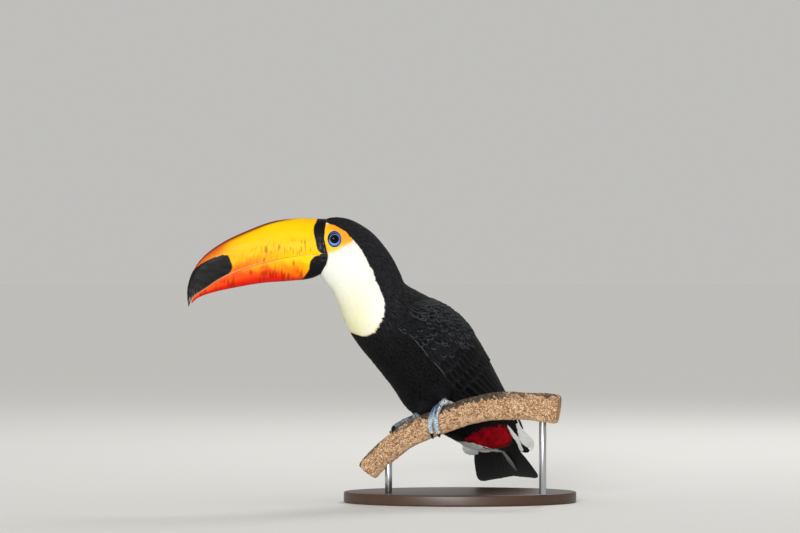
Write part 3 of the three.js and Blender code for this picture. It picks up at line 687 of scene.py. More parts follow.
def join(shells: list[Shell]) -> Shell:
    """Puts several surfaces into one, with their colours.

    Args:
        shells: the surfaces.

    Returns:
        One shell of them all.
    """
    shifts = np.cumsum([0, *(len(shell.points) for shell in shells)])
    quads = concatenate([shell.quads + shift for shell, shift in zip(shells, shifts, strict=False)])
    tris = concatenate([shell.tris + shift for shell, shift in zip(shells, shifts, strict=False)])
    points, colour, vane, chart = (
        None if any(getattr(shell, name) is None for shell in shells)
        else concatenate([getattr(shell, name) for shell in shells])
        for name in ("points", "colour", "vane", "chart")
    )
    return Shell(points, quads, tris, colour, vane, chart)


@dataclass(frozen=True)
class VaneShape:
    """Form of one kind of feather.

    Attributes:
        rows: shares of the length at which it has a row of points.
        widths: share of its half width at each row.
        columns: places across it, from -1 to 1.
        camber: how far its shaft stands over its edges, in millimetres.
        roll: how far one edge is lifted over its neighbour.
        fray: how unevenly the tip ends, as a share of the length.
    """

    rows: tuple[float, ...] = (0.0, 0.45, 0.8, 1.0)
    widths: tuple[float, ...] = (0.55, 1.0, 0.8, 0.22)
    columns: tuple[float, ...] = (-1.0, 0.0, 1.0)
    camber: float = 0.3
    roll: float = 0.0
    fray: float = 0.0

    def triangles(self) -> int:
        """Triangles in one feather."""
        rows, columns = len(self.rows), len(self.columns)
        return 2 * (rows - 1) * columns + 2 * (columns - 2)


FINE = VaneShape(camber=0.2)
HAIR = VaneShape(rows=(0.0, 0.6, 1.0), widths=(0.8, 1.0, 0.16), camber=0.1)
DOWN = VaneShape(widths=(0.7, 1.0, 0.62, 0.1), camber=0.22)
BROAD = VaneShape(
    rows=(0.0, 0.3, 0.6, 0.82, 0.94, 1.0),
    widths=(0.6, 0.92, 1.0, 0.82, 0.55, 0.2),
    columns=(-1.0, -0.45, 0.0, 0.45, 1.0),
    camber=0.5,
    roll=0.4,
    fray=0.035,
)
QUILL = VaneShape(
    rows=(0.0, 0.15, 0.32, 0.5, 0.66, 0.8, 0.9, 0.97, 1.0),
    widths=(0.6, 0.85, 0.97, 1.0, 0.98, 0.9, 0.74, 0.45, 0.16),
    columns=(-1.0, -0.5, -0.08, 0.08, 0.5, 1.0),
    camber=0.55,
    roll=0.9,
    fray=0.012,
)


@dataclass
class Vanes:
    """Feathers of one shape, laid on a surface with two coordinates."""

    root: Array
    reach: Array
    side: Array
    sunk: Array
    stand: Array
    shape: VaneShape
    colour: Array
    chart: Array
    seed: int = 1

    def split(self, parts: int) -> list[Vanes]:
        """Divides the feathers from head to tail into several lots.

        Args:
            parts: number of lots.

        Returns:
            The lots.
        """
        order = np.array_split(np.argsort(self.root[:, 0], kind="stable"), parts)
        rows = ("root", "reach", "side", "sunk", "stand", "colour", "chart")
        return [
            Vanes(**{name: getattr(self, name)[lot] for name in rows}, shape=self.shape, seed=self.seed + k)
            for k, lot in enumerate(order)
        ]

    def build(self, place: Place) -> Shell:
        """Makes every feather a thin closed surface.

        Args:
            place: turns two surface coordinates and a height into a place.

        Returns:
            All the feathers in one shell.
        """
        shape, n = self.shape, len(self.root)
        rng = default_rng(self.seed)
        t = np.array(shape.rows)[None, :, None]
        q = np.array(shape.columns)[None, None, :]
        width = np.array(shape.widths)[None, :, None]
        rows, columns = len(shape.rows), len(shape.columns)
        uneven = rng.uniform(-1, 1, (n, 1, columns)) * shape.fray * step(0.6, 1.0, t)
        along = np.broadcast_to(t + uneven, (n, rows, columns))
        cross = np.broadcast_to(q * width, (n, rows, columns))
        root, reach, side = (pair.T[:, :, None, None] for pair in (self.root, self.reach, self.side))
        a, b = root + reach * along + side * cross
        arch = shape.camber * (1 - q**2) * width + shape.roll * q
        height = mix(-self.sunk[:, None, None], self.stand[:, None, None], t**0.8) + arch
        points = place(a, b, height)
        index = np.arange(rows * columns).reshape(rows, columns)
        top = pack(index[:-1, :-1], index[:-1, 1:], index[1:, 1:], index[1:, :-1]).reshape(-1, 4)
        under = pack(index[:-1, -1], index[:-1, 0], index[1:, 0], index[1:, -1])
        ends = [[index[0, 0], index[0, c + 1], index[0, c]] for c in range(1, columns - 1)]
        ends += [[index[-1, 0], index[-1, c], index[-1, c + 1]] for c in range(1, columns - 1)]
        shift = (np.arange(n) * rows * columns)[:, None, None]
        quads = (concatenate([top, under])[None] + shift).reshape(-1, 4)
        tris = (np.array(ends)[None] + shift).reshape(-1, 3)
        shade = np.repeat(self.colour, rows * columns, axis=0)
        lot = np.broadcast_to(rng.uniform(0, 1, (n, 1, 1)), along.shape)
        vane = pack(np.broadcast_to(q, along.shape), along, lot).reshape(-1, 3)
        patch = pack(np.broadcast_to(q, along.shape), along * 2 - 1) * 0.0015
        chart = (self.chart[:, None, None, :] + patch).reshape(-1, 2)
        return Shell(points.reshape(-1, 3), quads, tris, shade, vane, chart).outward()


# ---- materials ----


def feed(node: Node, inputs: dict[str | int, object]) -> None:
    """Gives a node its inputs.

    Args:
        node: the node.
        inputs: by name or number, a constant, a socket, or a node, which stands for its first live output.
    """
    for key, given in inputs.items():
        named = (slot for slot in node.inputs if slot.name == key and slot.enabled)
        slot = node.inputs[key] if isinstance(key, int) else next(named)
        if isinstance(given, Node):
            given = next(out for out in given.outputs if out.enabled)
        if isinstance(given, NodeSocket):
            node.id_data.links.new(given, slot)
        else:
            slot.default_value = given


def add_node(
    tree: NodeTree,
    kind: str,
    settings: dict[str, object] | None = None,
    inputs: dict[str | int, object] | None = None,
) -> Node:
    """Adds a node with its settings and links.

    Args:
        tree: where it goes.
        kind: the node's type.
        settings: its properties.
        inputs: what feeds it.

    Returns:
        The node.
    """
    node = tree.nodes.new(kind)
    for name, value in (settings or {}).items():
        setattr(node, name, value)
    feed(node, inputs or {})
    return node


@dataclass(frozen=True)
class Finish:
    """What a material is made of.

    Attributes:
        name: the real material.
        colour: sRGB hex colour, where the surface carries no colours of its own.
        roughness: from mirror 0 to chalk 1.
        settings: further constant inputs of the surface shader.
    """

    name: str
    colour: str
    roughness: float
    settings: dict[str, object] = field(default_factory=dict)

    def material(self) -> Material:
        """Starts a material with its constants set.

        Returns:
            The material.
        """
        started = bpy.data.materials.new(self.name)
        started.use_nodes = True
        started.diffuse_color = rgba(self.colour)
        constants = {"Base Color": rgba(self.colour), "Roughness": self.roughness, **self.settings}
        feed(started.node_tree.nodes["Principled BSDF"], constants)
        return started


def dress(material: Material, colour: Node, height: Node, depth: float, strength: float) -> Material:
    """Puts colours and a relief on a material's surface.

    Args:
        material: the material.
        colour: gives the colours.
        height: gives the relief.
        depth: of the relief, in metres.
        strength: how strongly it shows.

    Returns:
        The material.
    """
    inputs = {"Height": height, "Distance": depth, "Strength": strength}
    relief = add_node(material.node_tree, "ShaderNodeBump", {}, inputs)
    feed(material.node_tree.nodes["Principled BSDF"], {"Base Color": colour, "Normal": relief})
    return material


COAT = {"attribute_name": "Coat"}
BLEND = {"data_type": "RGBA"}
DARKEN = {"data_type": "RGBA", "blend_type": "MULTIPLY"}

# Real barbs lie about 0.2 mm apart. They are drawn coarser, this many to a feather, so that they show.
BARBS = 34.0


def plumage(finish: Finish, edge: float, barbs: float) -> Material:
    """Feather vane: fine barbs run out from the shaft, and a painted highlight can make the rim and the tip
    paler.

    Args:
        finish: constants of the vane.
        edge: how much paler the painted highlight makes the edge.
        barbs: how strongly the barbs show.

    Returns:
        The material.
    """
    material = finish.material()
    add = partial(add_node, material.node_tree)
    vane = add("ShaderNodeAttribute", {"attribute_name": "Vane"}).outputs["Vector"]
    across, along, lot = add("ShaderNodeSeparateXYZ", {}, {"Vector": vane}).outputs
    side = add("ShaderNodeMath", {"operation": "ABSOLUTE"}, {0: across})
    lag = add("ShaderNodeMath", {"operation": "MULTIPLY"}, {0: side, 1: 0.22})
    slant = add("ShaderNodeMath", {"operation": "SUBTRACT"}, {0: along, 1: lag})
    row = add("ShaderNodeMath", {"operation": "MULTIPLY"}, {0: slant, 1: BARBS})
    column = add("ShaderNodeMath", {"operation": "MULTIPLY"}, {0: lot, 1: 91.0})
    place = add("ShaderNodeCombineXYZ", {}, {"X": row, "Y": column})
    lines = add("ShaderNodeTexNoise", {}, {"Vector": place, "Scale": 1.0, "Detail": 2.0})
    # The rim and the tip take a painted highlight: a pale grey that stands for light on the vane's edge.
    rim = add("ShaderNodeMath", {"operation": "POWER"}, {0: side, 1: 5.0})
    tip = add("ShaderNodeMath", {"operation": "POWER"}, {0: along, 1: 14.0})
    worn = add("ShaderNodeMath", {"operation": "MAXIMUM"}, {0: rim, 1: tip})
    pale = add("ShaderNodeMath", {"operation": "MULTIPLY", "use_clamp": True}, {0: worn, 1: edge})
    coat = add("ShaderNodeAttribute", COAT)
    colour = add("ShaderNodeMix", BLEND, {"Factor": pale, "A": coat, "B": rgba("#8C8F96")})
    gap = add("ShaderNodeMath", {"operation": "SUBTRACT"}, {0: lines, 1: 0.35})
    dark = add("ShaderNodeMath", {"operation": "MULTIPLY", "use_clamp": True}, {0: gap, 1: barbs})
    colour = add("ShaderNodeMix", DARKEN, {"Factor": dark, "A": colour, "B": rgba("#6A6258")})
    return dress(material, colour, lines, 0.0003, 0.6)


def bare_skin(finish: Finish) -> Material:
    """Skin: its own markings, with a fine pebbled grain.

    Args:
        finish: constants of the skin.

    Returns:
        The material.
    """
    material = finish.material()
    add = partial(add_node, material.node_tree)
    place = add("ShaderNodeTexCoord").outputs["Object"]
    # 900 bumps to the metre: pebbles of 1.1 mm.
    grain = add("ShaderNodeTexNoise", {}, {"Vector": place, "Scale": 900.0, "Detail": 4.0})
    pits = add("ShaderNodeMix", BLEND, {"Factor": grain, "A": rgba("#C89A60"), "B": rgba("#FFFFFF")})
    colour = add("ShaderNodeMix", DARKEN, {"Factor": 0.35, "A": add("ShaderNodeAttribute", COAT), "B": pits})
    return dress(material, colour, grain, 0.0004, 0.7)


def horn(finish: Finish) -> Material:
    """Horn of the bill: its own colours under a thin clear gloss, with faint growth lines.

    Args:
        finish: constants of the horn.

    Returns:
        The material.
    """
    material = finish.material()
    add = partial(add_node, material.node_tree)
    place = add("ShaderNodeTexCoord").outputs["Object"]
    drawn = add("ShaderNodeMapping", {}, {"Vector": place, "Scale": (0.25, 1.0, 1.6)})
    # 260 to the metre, drawn out along the bill: growth lines of 4 mm by 15 mm.
    lines = add("ShaderNodeTexNoise", {}, {"Vector": drawn, "Scale": 260.0, "Detail": 5.0})
    # 60 to the metre: clouds of 17 mm.
    clouds = add("ShaderNodeTexNoise", {}, {"Vector": place, "Scale": 60.0, "Detail": 4.0})
    stain = add("ShaderNodeMix", BLEND, {"Factor": clouds, "A": rgba("#D08A2A"), "B": rgba("#FFFFFF")})
    colour = add("ShaderNodeMix", DARKEN, {"Factor": 0.22, "A": add("ShaderNodeAttribute", COAT), "B": stain})
    return dress(material, colour, lines, 0.0001, 0.25)


def plain(finish: Finish, size: float, contrast: float, relief: float) -> Material:
    """A material of its mesh's own colours, with a grain.

    Args:
        finish: constants of the surface.
        size: grains for each metre.
        contrast: how strongly the grain darkens it.
        relief: depth of the grain in metres.

    Returns:
        The material.
    """
    material = finish.material()
    add = partial(add_node, material.node_tree)
    place = add("ShaderNodeTexCoord").outputs["Object"]
    grain = add("ShaderNodeTexNoise", {}, {"Vector": place, "Scale": size, "Detail": 4.0})
    share = add("ShaderNodeMath", {"operation": "MULTIPLY"}, {0: grain, 1: contrast})
    coat = add("ShaderNodeAttribute", COAT)
    colour = add("ShaderNodeMix", DARKEN, {"Factor": share, "A": coat, "B": rgba("#4A3A2C")})
    return dress(material, colour, grain, relief, 0.8)


# ---- building a piece ----


def weld(base: Object, extras: list[Object]) -> None:
    """Unites closed objects with a base into one closed surface, and removes them.

    Args:
        base: the object that takes the others in.
        extras: the others.
    """
    for extra in extras:
        union = base.modifiers.new("union", "BOOLEAN")
        union.operation = "UNION"
        union.solver = "MANIFOLD"
        union.object = extra
    graph = bpy.context.evaluated_depsgraph_get()
    merged = bpy.data.meshes.new_from_object(base.evaluated_get(graph))
    base.modifiers.clear()
    for spare in [base.data, *(extra.data for extra in extras)]:
        if spare is base.data:
            base.data = merged
        bpy.data.meshes.remove(spare)


def piece(
    name: str,
    shell: Shell,
    material: Material,
    slot: str,
    nodes: tuple[str, ...] = (),
    sharp: float = 40.0,
    ride: bool = True,
    extras: tuple[Shell, ...] = (),
) -> Object:
    """Writes a shell into the scene as one object at the origin.

    Args:
        name: the object's name.
        shell: its surface.
        material: its material.
        slot: the record's material slot; not used.
        nodes: the frame's nodes that it stands for.
        sharp: edges that turn more than this many degrees are drawn hard.
        ride: whether it is part of the model.
        extras: closed shells that grow together with it.

    Returns:
        The object.
    """
    mesh = bpy.data.meshes.new(name)
    mesh.vertices.add(len(shell.points))
    mesh.vertices.foreach_set("co", (shell.points * METRES).astype(np.float32).ravel())
    corners = concatenate([shell.quads.ravel(), shell.tris.ravel()]).astype(np.int32)
    mesh.loops.add(len(corners))
    mesh.loops.foreach_set("vertex_index", corners)
    quads, tris = len(shell.quads), len(shell.tris)
    starts = concatenate([np.arange(quads) * 4, quads * 4 + np.arange(tris) * 3])
    mesh.polygons.add(len(starts))
    mesh.polygons.foreach_set("loop_start", starts.astype(np.int32))
    mesh.update(calc_edges=True)
    mesh.polygons.foreach_set("use_smooth", np.ones(len(starts), bool))
    mesh.set_sharp_from_angle(angle=math.radians(sharp))
    shade = shell.colour if shell.colour is not None else np.ones((len(shell.points), 3))
    colours = mesh.color_attributes.new("Coat", "FLOAT_COLOR", "POINT")
    colours.data.foreach_set("color", np.c_[shade, np.ones(len(shade))].astype(np.float32).ravel())
    if shell.vane is not None:
        vane = mesh.attributes.new("Vane", "FLOAT_VECTOR", "POINT")
        vane.data.foreach_set("vector", shell.vane.astype(np.float32).ravel())
    if shell.grain is not None:
        grain = mesh.attributes.new("Grain", "FLOAT", "POINT")
        grain.data.foreach_set("value", shell.grain.astype(np.float32))
    if shell.chart is not None:
        chart = mesh.uv_layers.new(name="OFBake")
        chart.data.foreach_set("uv", shell.chart[corners].astype(np.float32).ravel())
    mesh.materials.append(material)
    built = bpy.data.objects.new(name, mesh)
    bpy.context.scene.collection.objects.link(built)
    if extras:
        named = ((f"{name}_{k}", extra) for k, extra in enumerate(extras))
        weld(built, [piece(*extra, material, slot, ride=False) for extra in named])
    if ride:
        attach(built, "root")
        if nodes:
            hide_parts(*nodes)
    LOG.info("%s: %d faces", name, quads * 2 + tris)
    return built


BODY = BodyForm()
HEAD = HeadFrame()
TAIL = TailForm()
MARKINGS = Markings(HEAD)


def chart_of(s: Array, angle: Array) -> Array:
    """Place on the unwrapped skin: station across it and angle up it."""
    return pack(0.02 + 0.96 * np.clip(s, -0.5, 21) / 21.5, 0.02 + 0.96 * np.mod(angle, 360) / 360)


# ---- skin and coat ----


@dataclass(frozen=True)
class Tract:
    """One kind of feather on one region; tables run over the stations in STOPS.

    Attributes:
        name: of the piece.
        region: where it grows.
        slot: of the record.
        span: first and last station.
        gap: millimetres between roots.
        length: of the feathers.
        width: of the feathers.
        shape: of the vane.
        stand: lowest and highest place of the tips over the form.
        sunk: depth of the roots.
        stray: degrees by which a feather may turn from its neighbours.
        shade: darkest and lightest share of its colour.
    """

    name: str
    region: Region
    slot: str
    span: Pair
    gap: tuple[float, ...]
    length: tuple[float, ...]
    width: tuple[float, ...]
    shape: VaneShape
    stand: Pair
    sunk: float
    stray: float
    shade: Pair


STOPS = (0.0, 3.0, 6.0, 9.0, 12.0, 16.0, 19.0)
TRACTS = (
    Tract(
        "coat_bib", Region.BIB, "bib_plumage", (0, 12), (0.95, 1.0, 1.1, 1.25, 1.4, 2, 2),
        (4.5, 5.5, 7, 8, 8, 9, 9), (1.3, 1.5, 1.8, 2.1, 2.2, 3, 3), HAIR, (-0.15, 0.1), 1, 7, (0.95, 1.03),
    ),
    Tract(
        "coat_head", Region.BLACK, "black_plumage", (0, 8.5), (0.95, 1.1, 1.3, 1.6, 2, 2, 2),
        (4.2, 5.2, 6.8, 9, 9, 9, 9), (1.1, 1.35, 1.7, 2.4, 2.4, 3, 3), HAIR, (-0.1, 0.3), 1, 10, (0.5, 1.7),
    ),
    Tract(
        "coat_body", Region.BLACK, "black_plumage", (8.5, 13.5), (2, 2, 2, 1.75, 2.2, 2.5, 2.5),
        (9, 9, 9, 10, 12.5, 14, 15), (3, 3, 3, 2.6, 3.4, 4.2, 4.2), FINE, (-0.1, 0.5), 1.7, 9.0, (0.5, 1.8),
    ),
    Tract(
        "coat_belly", Region.BLACK, "black_plumage", (13.5, 19.8), (2, 2, 2, 2, 2.2, 2.5, 2.5),
        (9, 9, 9, 10, 12.5, 14, 15), (3, 3, 3, 2.6, 3.2, 3.6, 3.8), FINE, (-0.1, 0.7), 1.7, 11.0, (0.5, 1.8),
    ),
    Tract(
        "coat_rump", Region.WHITE, "white_plumage", (16.5, 19.8), (2, 2, 2, 2, 2, 1.9, 1.9),
        (9, 9, 9, 9, 12, 13, 15), (3, 3, 3, 3, 3, 2.6, 2.8), DOWN, (-0.1, 0.9), 1.7, 13.0, (0.94, 1.03),
    ),
    Tract(
        "coat_crissum", Region.RED, "red_plumage", (16.5, 18.6), (2, 2, 2, 2, 2, 1.5, 1.5),
        (9, 9, 9, 9, 9, 9.5, 9.5), (3, 3, 3, 3, 3, 2.3, 2.3), DOWN, (-0.1, 0.6), 1.7, 9.0, (0.75, 1.25),
    ),
)
SCAPULARS = Tract(
    "scapulars", Region.BLACK, "black_plumage", (9.4, 13.5), (1.75,) * 7,
    (11,) * 7, (3,) * 7, FINE, (-0.1, 0.7), 1.4, 9.0, (0.6, 1.6),
)


@dataclass
class Plumage:
    """The body's skin and the feathers on it.

    Attributes:
        rings: sections of the skin.
        spokes: points round each.
        depth: how far the skin lies under the coat's tips.
        largest: how many triangles one piece may have.
    """

    rings: int = 420
    spokes: int = 180
    depth: float = 1.8
    largest: int = 180_000

    def lift(self, s: Array, angle: Array) -> Array:
        """Height of the surface that the feathers' tips reach, over the plain form.

        Args:
            s: station numbers.
            angle: degrees round the section.

        Returns:
            The height in millimetres.
        """
        half = 180 - np.abs(np.mod(angle, 360) - 180)
        wing = BODY.wing_cover(s, angle) * (BODY.wing_height(s, half) - 1.6)
        return wing - BODY.taper(s, angle)

    def skin(self) -> Shell:
        """One continuous skin, with every marking.

        Returns:
            The skin.
        """
        s = np.linspace(-0.25, LAST + 0.05, self.rings)[:, None]
        angle = np.linspace(0, 360, self.spokes, endpoint=False)[None, :]
        s, angle = np.broadcast_arrays(s, angle)
        outer = BODY.point(s, angle)
        seam = inside(HEAD.chart(outer), BILL_SEAM)
        face, _ = MARKINGS.depths(outer)
        bare = step(-2.0, 1.0, face) * (s < 6)
        depth = mix(mix(0.9, self.depth, step(3.0, 9.0, s)), 0.1, bare)
        sink = depth + 6.0 * step(-0.4, 3.0, seam) * (s < 4)
        points = BODY.point(s, angle, self.lift(s, angle) - sink)
        return loft(points).dyed(MARKINGS.colour(outer, s, angle))

    def roots(self, tract: Tract, seed: int) -> Array:
        """Scatters roots in staggered rows over the body.

        Args:
            tract: whose roots they are.
            seed: chooses the jitter.

        Returns:
            Station number and angle of each root.
        """
        rng = default_rng(seed)
        ring = np.arange(0, 360, 10.0)
        s, found = max(tract.span[0], 0.3), []
        while s < tract.span[1]:
            gap = float(np.interp(s, STOPS, tract.gap))
            stretch, girth = BODY.scale(np.full(ring.shape, s), ring)
            longest = stretch.max()
            count = int(girth.sum() * 10 / gap)
            jitter = rng.uniform(-0.35, 0.35, count)
            angle = (np.arange(count) + rng.uniform(0, 1) + jitter) * 360 / count
            place = s + rng.uniform(-0.45, 0.45, count) * gap / longest
            chance = np.interp(np.mod(angle, 360), ring, stretch, period=360) / longest
            keep = rng.uniform(0, 1, count) < chance
            found.append(pack(place[keep], np.mod(angle[keep], 360)))
            s += gap / longest
        return concatenate(found)

    def grown(self, tract: Tract, seed: int) -> Vanes:
        """The feathers of one tract.

        Args:
            tract: what grows.
            seed: chooses places and jitter.

        Returns:
            The feathers, before they are built.
        """
        rng = default_rng(seed)
        roots = self.roots(tract, seed + 1)
        s, angle = roots[:, 0], roots[:, 1]
        along, across = BODY.scale(s, angle)
        length = np.interp(s, STOPS, tract.length)
        width = np.interp(s, STOPS, tract.width)
        outer = BODY.point(s, angle)
        seam = inside(HEAD.chart(outer), BILL_SEAM)
        ahead = s + 0.6 * length / along
        tips = BODY.point(ahead, angle)
        region = MARKINGS.region(tips, ahead, angle)
        near = inside(HEAD.chart(outer), FACE_PATCH)
        bare = (near > -0.2) & (s < 6)
        cover = BODY.wing_cover(s, angle)
        open_air = (cover < 0.75) | (s > 16.6)
        keep = (region == tract.region.value) & ~bare & ((seam < -0.4) | (s > 4)) & open_air
        s, angle, along, across = s[keep], angle[keep], along[keep], across[keep]
        n = len(s)
        length, width = length[keep] * rng.uniform(0.85, 1.12, n), width[keep] * rng.uniform(0.85, 1.15, n)
        length = length * mix(1.0, 0.55, step(5.0, 0.0, -near[keep]) * (s < 6))
        border = np.abs(inside(HEAD.chart(outer[keep]), BIB_PATCH))
        fine = mix(1.0, 0.42, step(10.0, 2.0, border) * (s < 12))
        length, width = length * fine, width * mix(1.0, fine, 0.6)
        turn = np.radians(rng.normal(0, tract.stray, n))
        reach = pack(np.cos(turn) * length / along, np.sin(turn) * length / across)
        side = pack(-np.sin(turn) * width / 2 / along, np.cos(turn) * width / 2 / across)
        shade = rng.uniform(*tract.shade, n)
        if tract.region is Region.BLACK:
            loose = rng.uniform(0, 1, n) < 0.1
            shade = np.where(loose, shade * 2.6, shade)
            side = side * np.where(loose, 0.45, 1.0)[:, None]
            reach = reach * np.where(loose, 1.15, 1.0)[:, None]
        colour = MARKINGS.colour(tips[keep], ahead[keep], angle) * shade[:, None]
        return Vanes(
            root=pack(s, angle), reach=reach, side=side, sunk=np.full(n, tract.sunk),
            stand=rng.uniform(*tract.stand, n) - 1.5 * cover[keep], shape=tract.shape, colour=colour,
            chart=chart_of(s, angle),
            seed=seed + 2,
        )

    def scapulars(self, side: Side) -> Shell:
        """Soft small feathers that hide the front of the folded wing, ending in rounded lobes.

        Args:
            side: whose wing they lie on.

        Returns:
            The feathers.
        """
        rng = default_rng(700)
        roots = self.roots(SCAPULARS, 701)
        s, half = roots[:, 0], roots[:, 1]
        border = np.interp(half, [20, 60, 80, 100, 113], [13.1, 13.4, 13.1, 12.6, 12.0])
        border = border + 0.16 * np.sin(half * 0.42)
        along, across = BODY.scale(s, half)
        length = rng.uniform(8.5, 12.5, len(s))
        front = 9.6 + 0.9 * step(70, 20, half)
        keep = (half > 20) & (half < 109) & (s + length / along < border) & (s > front)
        s, half, along, across, length = s[keep], half[keep], along[keep], across[keep], length[keep]
        turn = np.radians(rng.normal(0, 9, len(s)))
        broad = rng.uniform(0, 1, len(s)) < mix(0.03, 0.13, step(92, 56, half))
        above = mix(0.8, 1.4, step(100, 64, half))[:, None]
        tone = rgb("#121315") * rng.uniform(0.4, 1.9, (len(s), 1)) * above
        length = np.where(broad, length * 1.25, length)
        width = rng.uniform(1.2, 1.9, len(s)) * np.where(broad, 2.0, 1.0)
        reach = pack(np.cos(turn) * length / along, np.sin(turn) * length / across)
        roots, side_step = pack(s, half), pack(0 * s, width / across)
        stand = rng.uniform(-0.1, 0.7, len(s)) + 0.7 * broad

        def lot(chosen: Array, shape: VaneShape, rim: float) -> Shell:
            """Builds some of the feathers.

            Args:
                chosen: which of them.
                shape: of each.
                rim: share of the vane's painted edge highlight that shows.

            Returns:
                The feathers.
            """
            vanes = Vanes(
                root=roots[chosen], reach=reach[chosen], side=side_step[chosen],
                sunk=np.full(chosen.sum(), 1.4), stand=stand[chosen], shape=shape, colour=tone[chosen],
                chart=chart_of(s[chosen], half[chosen] * side.value), seed=702,
            )
            built = vanes.build(place)
            built.vane[:, :2] *= rim
            return built

        def place(a: Array, b: Array, h: Array) -> Array:
            """Places over the folded wing."""
            return BODY.point(a, b * side.value, BODY.wing_height(a, b) + 1.9 * step(9.9, 11.2, a) - 0.9 + h)

        return join([lot(~broad, FINE, 0.78), lot(broad, BROAD, 1.0)])

    def coats(self, paints: dict[str, Material]) -> None:
        """Builds every feather tract of the body, in pieces that aren't too large.

        Args:
            paints: the plumage materials by slot.
        """
        for number, tract in enumerate(TRACTS):
            vanes = self.grown(tract, 100 + 10 * number)
            parts = max(1, math.ceil(len(vanes.root) * tract.shape.triangles() / self.largest))
            for k, part in enumerate(vanes.split(parts)):
                shell = part.build(lambda a, b, h: BODY.point(a, b, h + self.lift(a, b)))
                piece(f"{tract.name}_{k + 1}", shell, paints[tract.slot], tract.slot, sharp=75)


# ---- bill ----


